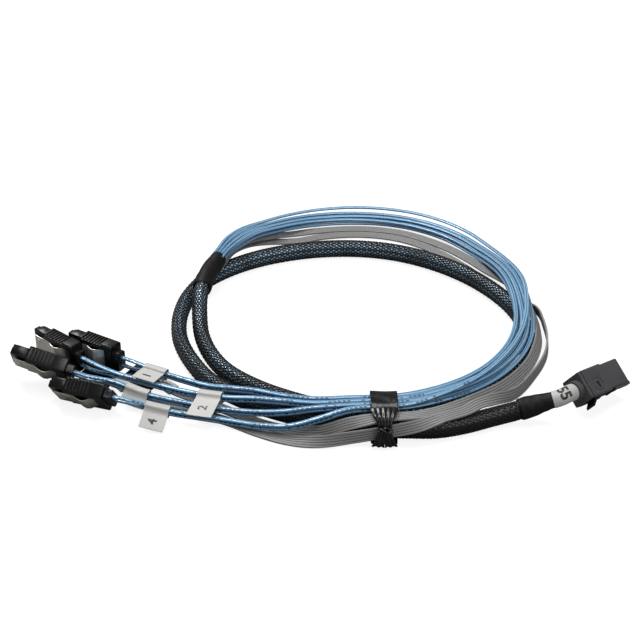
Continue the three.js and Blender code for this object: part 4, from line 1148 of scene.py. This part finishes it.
@dataclass
class FlatCords:
    """Eight flat shielded pairs, from the breakout through the tie to the SATA connectors."""
    palette: Palette
    rigid: RigidPieces
    width: float = 2.0
    thickness: float = 1.3
    exit_pitch: float = 1.65
    exit_gap: float = 2.35
    exit_height: float = 0.9
    exit_roll: float = 90.0
    pair_gap: float = 1.65
    pair_pitch: float = 3.81
    sides: int = 20
    steps: int = 430

    @staticmethod
    def stray(column: int, layer: Layer, index: int) -> tuple[float, float]:
        """Returns how far a slack upper cord lies outward and upward of its lay, in millimetres."""
        def swell(first: int, last: int) -> float:
            """Returns a smooth rise and fall between two points of the route."""
            share = min(max((index - first) / (last - first), 0.0), 1.0)
            return math.sin(math.pi * share) ** 2
        if layer is not Layer.UPPER:
            return 0.0, 0.0
        crossing = swell(12, 21)
        return {
            0: (0.6 * swell(1, 12) - 4.7 * crossing, 1.0 * swell(1, 12) + 2.1 * crossing ** 0.3),
            1: (-0.9 * swell(2, 12), 0.1 * swell(3, 12)),
            2: (-1.1 * swell(2, 12), 0.6 * swell(4, 13)),
            3: (-1.7 * swell(2, 12) - 0.8 * swell(13, 20), 0.2 * swell(2, 12)),
        }[column]

    @staticmethod
    def breakout_point(ahead: float, left: float, rise: float) -> Point:
        """Returns a point beside the breakout's open end, in millimetres."""
        end, before = Vector(BREAKOUT_ROUTE[-1]), Vector(BREAKOUT_ROUTE[-2])
        along = (end - before).normalized()
        side = Vector((0, 0, 1)).cross(along).normalized()
        return tuple(end + along * ahead + side * left + along.cross(side) * rise)

    def route(self, column: int, layer: Layer, tuck: float = 0.0) -> tuple[list[Point], list[float]]:
        """Chosen points of one cord.

        Args:
            column: 0 to 3, from the outside of the coil.
            layer: upper, lower, or the middle of the pair.
            tuck: how far both ends run on into what holds them, in millimetres.

        Returns:
            The points in millimetres, and the roll at each.
        """
        sign = layer.value
        left = (1.5 - column) * self.exit_pitch
        rise = self.exit_height + sign * self.exit_gap / 2
        points = [self.breakout_point(CLEARANCE - tuck, left, rise), self.breakout_point(5, left, rise)]
        rolls = [self.exit_roll] * 2
        for index, (x, y, z, pitch, stagger, gap, roll) in enumerate(BUNDLE_ROUTE):
            before = BUNDLE_ROUTE[max(index - 1, 0)]
            after = BUNDLE_ROUTE[min(index + 1, len(BUNDLE_ROUTE) - 1)]
            run = math.hypot(after[0] - before[0], after[1] - before[1])
            outward_stray, rise_stray = self.stray(column, layer, index)
            offset = (1.5 - column) * pitch + sign * stagger / 2 + outward_stray
            points.append((x - (after[1] - before[1]) / run * offset,
                           y + (after[0] - before[0]) / run * offset, z + sign * gap / 2 + rise_stray))
            rolls.append(roll)
        for x, y, z in LEG_ROUTES[column]:
            points.append((x, y, z + sign * self.pair_gap / 2))
            rolls.append(0.0)
        for back in (6.0, 2.4, CLEARANCE - tuck / 4):
            points.append(SATA[column].point((SATA_REAR - back, -sign * self.pair_pitch / 2, 0)))
            rolls.append(0.0)
        return points, rolls

    def section(self) -> np.ndarray:
        """Returns the flat section: two cores under one film, dipping a little between them."""
        angle = np.linspace(0, 2 * math.pi, self.sides, endpoint=False)
        across = np.cos(angle) * self.width / 2
        dip = 1 - 0.1 * np.exp(-(across / 0.28) ** 2)
        upward = np.sign(np.sin(angle)) * np.abs(np.sin(angle)) ** 0.72 * self.thickness / 2 * dip
        return np.stack([across, upward], axis=1) * MM

    def build(self) -> None:
        section = self.section()
        for column in range(len(SATA)):
            for layer in (Layer.LOWER, Layer.UPPER):
                points, rolls = self.route(column, layer, tuck=2.5)
                line = Centreline(points, tuple(rolls))
                places = line.stations(self.steps)
                name = f"twinax_{column + 1}_{layer.name.lower()}"
                material = self.palette.cords[2 * column + (layer is Layer.UPPER)]
                piece = new_piece(f"{name}_cord", sweep(places, section), material)
                enlist(piece, name)
                LOG.info("%s %.3f m", name, line.length)


@dataclass
class RibbonCables:
    """Two grey ribbons of side-by-side cores, from the breakout to the sideband connectors."""
    palette: Palette
    rigid: RigidPieces
    width: float = 5.2
    thickness: float = 0.95
    cores: int = 5
    core_points: int = 7
    valley: float = 0.58
    steps: int = 420
    exit_heights: tuple[float, float] = (-1.9, -3.15)
    label_length: float = 7.0
    label_room: float = 1.1
    label_setbacks: tuple[float, float] = (4.2, 3.6)

    def line(self, index: int, tuck: float = 0.0) -> Centreline:
        """Returns one ribbon's line, its start run on by tuck millimetres."""
        height = self.exit_heights[index]
        points = [FlatCords.breakout_point(ahead, 0, height) for ahead in (CLEARANCE - tuck, 5)]
        rolls = [0.0, 0.0]
        for x, y, z, roll in RIBBON_ROUTES[index]:
            points.append((x, y, z))
            rolls.append(roll)
        points += [SIDEBAND[index].point((-5, 0, 0)), SIDEBAND[index].point((1.7, 0, 0))]
        return Centreline(points, (*rolls, 0.0, 0.0))

    def section(self) -> tuple[np.ndarray, np.ndarray]:
        """Returns the ribbed section, and how much painted shade each of its points gets in the grooves."""
        pitch = self.width / self.cores
        across, upward, depth = [], [], []
        for core in range(self.cores):
            middle = self.width / 2 - pitch * (core + 0.5)
            for place in range(self.core_points):
                turn = math.pi * (place + 0.5) / self.core_points
                across.append(middle + math.cos(turn) * pitch / 2)
                share = math.sin(turn) ** 0.5
                upward.append((self.valley + (1 - self.valley) * share) * self.thickness / 2)
                outer = (core == 0 and turn < 0.6) or (core == self.cores - 1 and turn > 2.5)
                depth.append(0.0 if outer else max(0.0, min(1.0, 1.55 - 1.9 * math.sin(turn))))
        top = np.stack([across, upward], axis=1)
        bottom = np.stack([across[::-1], [-value for value in upward[::-1]]], axis=1)
        return np.vstack([top, bottom]) * MM, np.array(depth + depth[::-1])

    def build(self) -> None:
        """Makes both ribbons, and wraps a label round each."""
        section, grooves = self.section()
        for index in range(len(RIBBON_ROUTES)):
            line = self.line(index, tuck=2.5)
            places = line.stations(self.steps)
            name = f"ribbon_{index + 1}"
            piece = new_piece(f"{name}_cord", sweep(places, section, grooves=grooves), self.palette.ribbon)
            enlist(piece, name)
            self.wrap_label(index)
            LOG.info("%s %.3f m", name, line.length)

    def wrap_label(self, index: int) -> None:
        """Makes the label round one ribbon."""
        line = self.line(index)
        last = line.length - self.label_setbacks[index] * MM
        places = line.stations(14, last - self.label_length * MM, last)
        half = np.array([self.width + self.label_room, self.thickness + self.label_room]) / 2 * MM
        outer = ellipse(self.width + self.label_room, self.thickness + self.label_room, 40)
        shaped = np.sign(outer) * np.abs(outer / half) ** 0.45 * half
        piece = new_piece(f"ribbon_label_{index + 1}_film", sweep(places, shaped), self.palette.label)
        enlist(piece, f"ribbon_label_{index + 1}")


@dataclass(frozen=True)
class Flag:
    """A flag label: where it sits and how its tail hangs, in millimetres and degrees."""
    numeral: str
    setback: float
    tail: float
    height: float
    slope: float


@dataclass
class Labels:
    """Wrap label at the plug and flag labels on the SATA legs, each with one numeral."""
    palette: Palette
    cords: FlatCords
    shrink: ShrinkTubes
    flags: tuple[Flag, ...] = (
        Flag("4", 13, 8.5, 0.2, -22), Flag("3", 25, 5, 0, -35),
        Flag("2", 57, 11.5, 0.9, -8), Flag("1", 12, 8, 1.6, 4))
    flag_length: float = 10.5
    tail_gap: float = 0.35
    slack: float = 0.45
    film: float = 0.16
    ink: float = 0.03
    plug_length: float = 9.6
    plug_rise: float = 0.35
    plug_facing: float = 66.0
    numeral_setback: float = 5.2
    label_gap: float = 0.3

    def numeral(self, text: str, size: float, bold: float = 0.13) -> bpy.types.Mesh:
        """Returns a numeral's mesh in the XY plane about the origin, sizes in millimetres."""
        data = bpy.data.curves.new("numeral", "FONT")
        data.body = text
        data.size = size * MM
        data.align_x = "CENTER"
        data.align_y = "CENTER"
        data.extrude = self.ink * MM / 2
        data.offset = bold * MM
        holder = bpy.data.objects.new("numeral", data)
        bpy.context.scene.collection.objects.link(holder)
        bpy.context.view_layer.update()
        graph = bpy.context.evaluated_depsgraph_get()
        mesh = bpy.data.meshes.new_from_object(holder.evaluated_get(graph), depsgraph=graph)
        bpy.data.objects.remove(holder)
        work = bmesh.new()
        work.from_mesh(mesh)
        bmesh.ops.remove_doubles(work, verts=work.verts, dist=1e-7)
        bmesh.ops.triangulate(work, faces=work.faces)
        for _ in range(3):
            long_edges = [edge for edge in work.edges if edge.calc_length() > 0.5 * MM]
            bmesh.ops.subdivide_edges(work, edges=long_edges, cuts=1)
            bmesh.ops.triangulate(work, faces=work.faces)
        bmesh.ops.recalc_face_normals(work, faces=work.faces)
        work.to_mesh(mesh)
        work.free()
        return mesh

    def build(self) -> None:
        """Makes the plug's wrap and the four flags."""
        self.build_wrap()
        for column, flag in enumerate(self.flags):
            self.build_flag(column, flag)
        LOG.info("labels: one wrap and %d flags", len(self.flags))

    def build_wrap(self) -> None:
        """Makes the wrap on the plug's heat shrink with its numeral bent round it."""
        line = self.shrink.plug_line()
        first, last = self.label_gap * MM, (self.label_gap + self.plug_length) * MM
        radius = self.shrink.narrow / 2 + self.plug_rise
        places = line.stations(24, first, last)
        round_section = ellipse(2 * radius, 2 * radius, 64)
        ring = new_piece("plug_wrap_label", sweep(places, round_section), self.palette.label)
        enlist(ring, "plug_label")
        mesh = self.numeral("55", 6.4, 0.2)
        start = first + self.numeral_setback * MM
        middle = line.stations(1, start, start + 0.1 * MM)
        centre = Vector(middle.point[0])
        along, across, upward = (Vector(part[0]) for part in (middle.along, middle.across, middle.upward))
        facing = math.radians(self.plug_facing)
        for vertex in mesh.vertices:
            x, y, z = vertex.co
            angle = facing - x / (radius * MM)
            reach = (radius + 0.02) * MM + z
            vertex.co = centre - along * y + (across * math.cos(angle) + upward * math.sin(angle)) * reach
        outward(mesh)
        enlist(new_piece("plug_numeral", mesh, self.palette.ink))

    def build_flag(self, column: int, flag: Flag) -> None:
        """Makes one flag: a film looped round the pair with both ends stuck into a tail.

        Args:
            column: which SATA leg carries it.
            flag: its sizes.
        """
        points, _ = self.cords.route(column, Layer.MIDDLE)
        line = Centreline(points[2:])
        last = line.length - flag.setback * MM
        places = line.stations(16, last - self.flag_length * MM, last)
        inner_x = self.cords.width / 2 + CLEARANCE + self.slack
        inner_y = (self.cords.pair_gap + self.cords.thickness) / 2 + CLEARANCE + self.slack
        loop = self.loop_line(inner_x + 0.1, inner_y + 0.1, flag)
        corners = (places.point[:, None] + places.across[:, None] * loop[:, :1] * MM
                   + places.upward[:, None] * loop[:, 1:] * MM)
        rows, columns = corners.shape[:2]
        faces = [(r * columns + c, r * columns + c + 1, (r + 1) * columns + c + 1, (r + 1) * columns + c)
                 for r in range(rows - 1) for c in range(columns - 1)]
        mesh = bpy.data.meshes.new("flag")
        mesh.from_pydata(corners.reshape(-1, 3).tolist(), [], faces)
        mesh.shade_smooth()
        piece = new_piece(f"sata_label_{column + 1}_film", mesh, self.palette.label)
        thick = piece.modifiers.new("film", "SOLIDIFY")
        thick.thickness = self.film * MM
        thick.offset = 0.0
        made_plain(piece)
        piece.data.set_sharp_from_angle(angle=math.radians(50))
        enlist(piece, f"sata_label_{column + 1}")
        self.stamp(column, flag, places, inner_x + 0.1)

    def loop_line(self, half_x: float, half_y: float, flag: Flag) -> np.ndarray:
        """Returns the film's line in section: up the tail, round the pair and back down the tail."""
        slope = math.radians(flag.slope)
        root = np.array([half_x + self.tail_gap, flag.height])
        forward = np.array([math.cos(slope), math.sin(slope)])
        lift = np.array([-forward[1], forward[0]]) * self.film * 0.56
        outward_steps = np.linspace(flag.tail, 0.4, 9)
        upper = [root + forward * step + lift for step in outward_steps]
        lower = [root + forward * step - lift for step in outward_steps[::-1]]
        corner = 1.1
        arc = []
        for start, sign_x, sign_y in ((0, 1, 1), (90, -1, 1), (180, -1, -1), (270, 1, -1)):
            for turn in np.radians(np.linspace(start, start + 90, 6)):
                arc.append([sign_x * (half_x - corner) + corner * math.cos(turn),
                            sign_y * (half_y - corner) + corner * math.sin(turn)])
        kept = [(x, y) for x, y in arc if x <= half_x - 0.05 or abs(y - flag.height) >= 0.5]
        return np.array([*upper, *kept, *lower])

    def stamp(self, column: int, flag: Flag, places: Stations, half_x: float) -> None:
        """Lays the numeral on the tail's upper face."""
        middle = len(places.point) // 2
        parts = (places.along, places.across, places.upward)
        along, across, upward = (Vector(part[middle]) for part in parts)
        slope = math.radians(flag.slope)
        forward = across * math.cos(slope) + upward * math.sin(slope)
        normal = upward * math.cos(slope) - across * math.sin(slope)
        reach = (half_x + self.tail_gap + flag.tail * 0.56) * MM
        level = (self.film * 1.1 + self.ink) * MM
        root = (half_x + self.tail_gap) * MM
        base = (Vector(places.point[middle]) + across * root + upward * flag.height * MM
                + forward * (reach - root) + normal * level)
        mesh = self.numeral(flag.numeral, min(5.4, flag.tail * 0.7))
        for vertex in mesh.vertices:
            x, y, z = vertex.co
            vertex.co = base - forward * x + along * y + normal * z
        outward(mesh)
        enlist(new_piece(f"sata_numeral_{column + 1}", mesh, self.palette.ink))


@dataclass
class WrappedTie:
    """A gathered film tie: a pleated band, pinched at a knot, with two spread tails."""
    palette: Palette
    width: float = 11.0
    waist: float = 5.6
    thickness: float = 0.32
    pleat: float = 0.42
    pleats: float = 5.0
    around: int = 220
    rows: int = 40
    tail: float = 8.0

    def band(self) -> bpy.types.Mesh:
        """Returns the band's open sheet around the bundle."""
        ring = Centreline([(y, z, 0) for y, z in TIE_LOOP + TIE_LOOP[:3]])
        lap = float(np.interp((len(TIE_LOOP)) / (len(TIE_LOOP) + 2), ring.share, ring.run))
        places = ring.stations(self.around, 0, lap)
        loop = places.point[:-1, :2]
        before, after = np.roll(loop, 1, axis=0), np.roll(loop, -1, axis=0)
        along = after - before
        along /= np.linalg.norm(along, axis=1)[:, None]
        outside = np.stack([along[:, 1], -along[:, 0]], axis=1)
        knot = np.array(TIE_KNOT) * MM
        reach = np.linalg.norm(loop - knot, axis=1) / MM
        gather = np.clip((reach - 1.0) / 9.0, 0, 1)
        gather = gather * gather * (3 - 2 * gather)
        half = (self.waist + (self.width - self.waist) * gather) / 2
        share = np.linspace(-1, 1, self.rows)
        corners = np.zeros((len(loop), self.rows, 3))
        fold = np.exp(-((reach - 3.0) / 6.0) ** 2)
        for row, place in enumerate(share):
            phase = self.pleats * math.pi * place + 0.7 * np.sin(reach * 0.9) * place
            lift = self.thickness / 2 + 0.1 + self.pleat * fold * (0.5 + 0.5 * np.cos(phase))
            lift += 0.12 * np.sin(2.3 * place + reach * 0.8)
            corners[:, row, 0] = TIE_AT * MM + place * half * MM
            corners[:, row, 1:] = loop + outside * lift[:, None] * MM
        count = len(loop)
        faces = [(a * self.rows + r, a * self.rows + r + 1, ((a + 1) % count) * self.rows + r + 1,
                  ((a + 1) % count) * self.rows + r) for a in range(count) for r in range(self.rows - 1)]
        mesh = bpy.data.meshes.new("band")
        mesh.from_pydata(corners.reshape(-1, 3).tolist(), [], faces)
        return mesh

    def tails(self) -> bpy.types.Mesh:
        """Returns the two tails below the knot, folded like fans."""
        rows, columns = 16, 26
        vertices, faces = [], []
        for side in (-1, 1):
            base = len(vertices)
            for row in range(rows):
                down = row / (rows - 1)
                for column in range(columns):
                    spread = column / (columns - 1)
                    x = side * (0.1 + spread * (1.5 + 3.7 * down))
                    fold = 0.34 * math.cos(4.5 * math.pi * spread) * (0.35 + 0.65 * down)
                    y = TIE_KNOT[0] - 0.35 - 0.7 * math.sin(down * math.pi) ** 0.5 * 0.6 - fold
                    z = TIE_KNOT[1] - 0.2 - self.tail * down * (1 - 0.08 * spread)
                    vertices.append(((TIE_AT + x) * MM, y * MM, z * MM))
            faces += [(base + r * columns + c, base + r * columns + c + 1, base + (r + 1) * columns + c + 1,
                       base + (r + 1) * columns + c) for r in range(rows - 1) for c in range(columns - 1)]
        mesh = bpy.data.meshes.new("tails")
        mesh.from_pydata(vertices, [], faces)
        return mesh

    def knot(self) -> bpy.types.Mesh:
        """Returns the twisted knot: a fat ring of film crossing itself."""
        turns = [(-2.6, -0.2, 0.4), (-1.3, -0.9, 0.9), (0.2, -1.1, 0.1), (1.5, -0.8, -0.8),
                 (2.6, -0.1, -0.3), (1.4, 0.3, 0.6), (0.0, -0.5, 1.2), (-1.4, -0.9, -0.5),
                 (-2.5, -0.1, -0.9)]
        line = Centreline([(TIE_AT + x, TIE_KNOT[0] + y, TIE_KNOT[1] + z) for x, y, z in turns])
        return sweep(line.stations(70), ellipse(1.3, 1.0, 20))

    def build(self) -> None:
        """Makes the tie from three pieces: its band, its tails and its knot."""
        sheets = []
        for name, mesh in (("tie_band", self.band()), ("tie_tails", self.tails())):
            mesh.shade_smooth()
            outward(mesh)
            piece = new_piece(name, mesh, self.palette.tie)
            film = piece.modifiers.new("film", "SOLIDIFY")
            film.thickness = self.thickness * MM
            film.offset = 0.0
            sheets.append(made_plain(piece))
        sheets.append(new_piece("tie_knot", self.knot(), self.palette.tie))
        for piece in sheets:
            enlist(piece)
        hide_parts("wrapped_tie")
        LOG.info("tie of %d pieces", len(sheets))


@dataclass
class ContactRows:
    """Rows of plated contacts on the paddle cards and in the SATA slots."""
    palette: Palette
    card_length: float = 3.7
    card_width: float = 0.45
    card_pitch: float = 0.8
    card_count: int = 9
    slot_length: float = 4.9
    slot_width: float = 0.6
    slot_pitch: float = 1.27
    slot_count: int = 7
    slot_top: float = 0.975
    slot_rib: float = 0.22
    slot_side: float = -0.6
    slot_middle: float = 3.95
    card_middle: float = 19.55
    card_level: float = 1.8
    card_rise: float = 0.55
    plating: float = 0.06

    def tree(self) -> GeometryTree:
        """Returns the tree that repeats a flat contact along Y."""
        build = GeometryTree("contact_row", {
            "Count": 7, "Pitch": 0.00127, "Length": 0.005, "Width": 0.0006, "Thickness": 0.00006,
        }, self.palette.gold)
        sketch, given = build.sketch, build.given
        step = sketch.add("ShaderNodeCombineXYZ", {1: given["Pitch"]})
        spots = sketch.add("GeometryNodeMeshLine", {"Count": given["Count"], "Offset": step.outputs[0]})
        size = sketch.add("ShaderNodeCombineXYZ", {
            0: given["Length"], 1: given["Width"], 2: given["Thickness"]})
        pad = sketch.add("GeometryNodeMeshCube", {"Size": size.outputs[0]})
        copies = sketch.add("GeometryNodeInstanceOnPoints", {
            "Points": spots.outputs[0], "Instance": pad.outputs[0]})
        span = sketch.math("MULTIPLY", sketch.math("SUBTRACT", given["Count"], 1.0), given["Pitch"])
        back = sketch.add("ShaderNodeCombineXYZ", {1: sketch.math("MULTIPLY", span, -0.5)})
        moved = sketch.add("GeometryNodeTransform", {
            "Geometry": copies.outputs[0], "Translation": back.outputs[0]})
        build.finish(moved.outputs[0])
        return build

    def row(self, tree: GeometryTree, name: str, place: Matrix,
            values: dict[str, float | int], slot: str) -> None:
        """Makes one row and puts it in its place.

        Args:
            tree: the row's tree.
            name: the piece's name.
            place: the holder's matrix with the row's own shift.
            values: the row's sizes.
            slot: not used.
        """
        seed = bpy.data.objects.new(name, bpy.data.meshes.new(name))
        bpy.context.scene.collection.objects.link(seed)
        piece = tree.run(seed, values)
        piece.data.transform(place)
        enlist(piece)

    def build(self) -> None:
        """Makes the rows of both cards and of the four SATA slots."""
        tree = self.tree()
        card = {"Count": self.card_count, "Pitch": self.card_pitch * MM, "Length": self.card_length * MM,
                "Width": self.card_width * MM, "Thickness": self.plating * MM}
        for name, sign in (("upper", 1), ("lower", -1)):
            level = sign * self.card_level + self.card_rise + self.plating / 2
            place = PLUG.matrix @ Matrix.Translation(Vector((self.card_middle, 0, level)) * MM)
            self.row(tree, f"card_contacts_{name}", place, card, "terminal_gold")
        slot = {"Count": self.slot_count, "Pitch": self.slot_pitch * MM, "Length": self.slot_length * MM,
                "Width": self.slot_width * MM, "Thickness": self.plating * MM}
        for number, holder in enumerate(SATA, start=1):
            under = self.slot_top - self.slot_rib - self.plating / 2
            shift = Vector((self.slot_middle, self.slot_side, under)) * MM
            place = holder.matrix @ Matrix.Translation(shift)
            self.row(tree, f"sata_contacts_{number}", place, slot, "terminal_gold")
        LOG.info("contact rows for %d connectors", 1 + len(SATA))


@dataclass
class Studio:
    """Camera, floor and soft lights, none of them part of the cable."""
    palette: Palette
    lens: float = 85.0
    elevation: float = 32.0
    distance: float = 0.687
    target: Point = (0.0005, -0.0025, 0.0)

    def lamp(self, name: str, place: Point, aim: Point, size: tuple[float, float], power: float) -> None:
        """Adds a soft rectangular lamp.

        Args:
            name: the lamp's name.
            place: where it stands, in metres.
            aim: the point that it faces.
            size: its width and height in metres.
            power: its power in watts.
        """
        data = bpy.data.lights.new(name, "AREA")
        data.shape = "RECTANGLE"
        data.size, data.size_y = size
        data.energy = power
        lamp = bpy.data.objects.new(name, data)
        lamp.location = place
        lamp.rotation_euler = (Vector(aim) - Vector(place)).to_track_quat("-Z", "Y").to_euler()
        bpy.context.scene.collection.objects.link(lamp)

    def build(self) -> None:
        """Sets the camera, the floor, the lamps and the world."""
        scene = bpy.context.scene
        scene.view_settings.view_transform = "Standard"
        data = bpy.data.cameras.new("camera")
        data.lens = self.lens
        data.sensor_width = 36.0
        data.clip_start = 0.01
        camera = bpy.data.objects.new("camera", data)
        tilt = math.radians(self.elevation)
        camera.location = Vector(self.target) + Vector((0, -math.cos(tilt), math.sin(tilt))) * self.distance
        camera.rotation_euler = (math.radians(90 - self.elevation), 0, 0)
        scene.collection.objects.link(camera)
        scene.camera = camera
        mesh = bpy.data.meshes.new("floor")
        half = 3.0
        corners = [(-half, -half, 0), (half, -half, 0), (half, half, 0), (-half, half, 0)]
        mesh.from_pydata(corners, [], [(0, 1, 2, 3)])
        new_piece("floor", mesh, self.palette.floor)
        self.lamp("key", (-0.3, 0.4, 0.75), (0, 0, 0), (0.35, 0.35), 6.0)
        self.lamp("fill", (0.6, -0.6, 0.6), (0, 0, 0), (0.5, 0.5), 2.4)
        self.lamp("top", (0.1, -0.1, 1.0), (0, 0, 0), (0.6, 0.3), 3.6)
        world = bpy.data.worlds.new("studio")
        world.use_nodes = True
        scene.world = world
        sketch = Sketch(world.node_tree)
        world.node_tree.nodes.clear()
        path = sketch.add("ShaderNodeLightPath")
        dim = sketch.add("ShaderNodeBackground", {"Color": (1, 1, 1, 1), "Strength": 0.2})
        seen = sketch.add("ShaderNodeBackground", {"Color": (1, 1, 1, 1), "Strength": 1.0})
        mixed = sketch.add("ShaderNodeMixShader", {
            0: path.outputs["Is Camera Ray"], 1: dim.outputs[0], 2: seen.outputs[0]})
        output = sketch.add("ShaderNodeOutputWorld")
        world.node_tree.links.new(mixed.outputs[0], output.inputs[0])


def main() -> None:
    """Loads the frame and dresses every piece in order."""
    logging.basicConfig(level=logging.INFO, format="%(name)s: %(message)s")
    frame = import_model()
    palette = Palette()
    Studio(palette).build()
    rigid = RigidPieces(palette, frame)
    rigid.build()
    cords = FlatCords(palette, rigid)
    shrink = ShrinkTubes(palette)
    BraidedSleeve(palette).build()
    shrink.build()
    cords.build()
    RibbonCables(palette, rigid).build()
    Labels(palette, cords, shrink).build()
    WrappedTie(palette).build()
    ContactRows(palette).build()


if __name__ == "__main__":
    main()
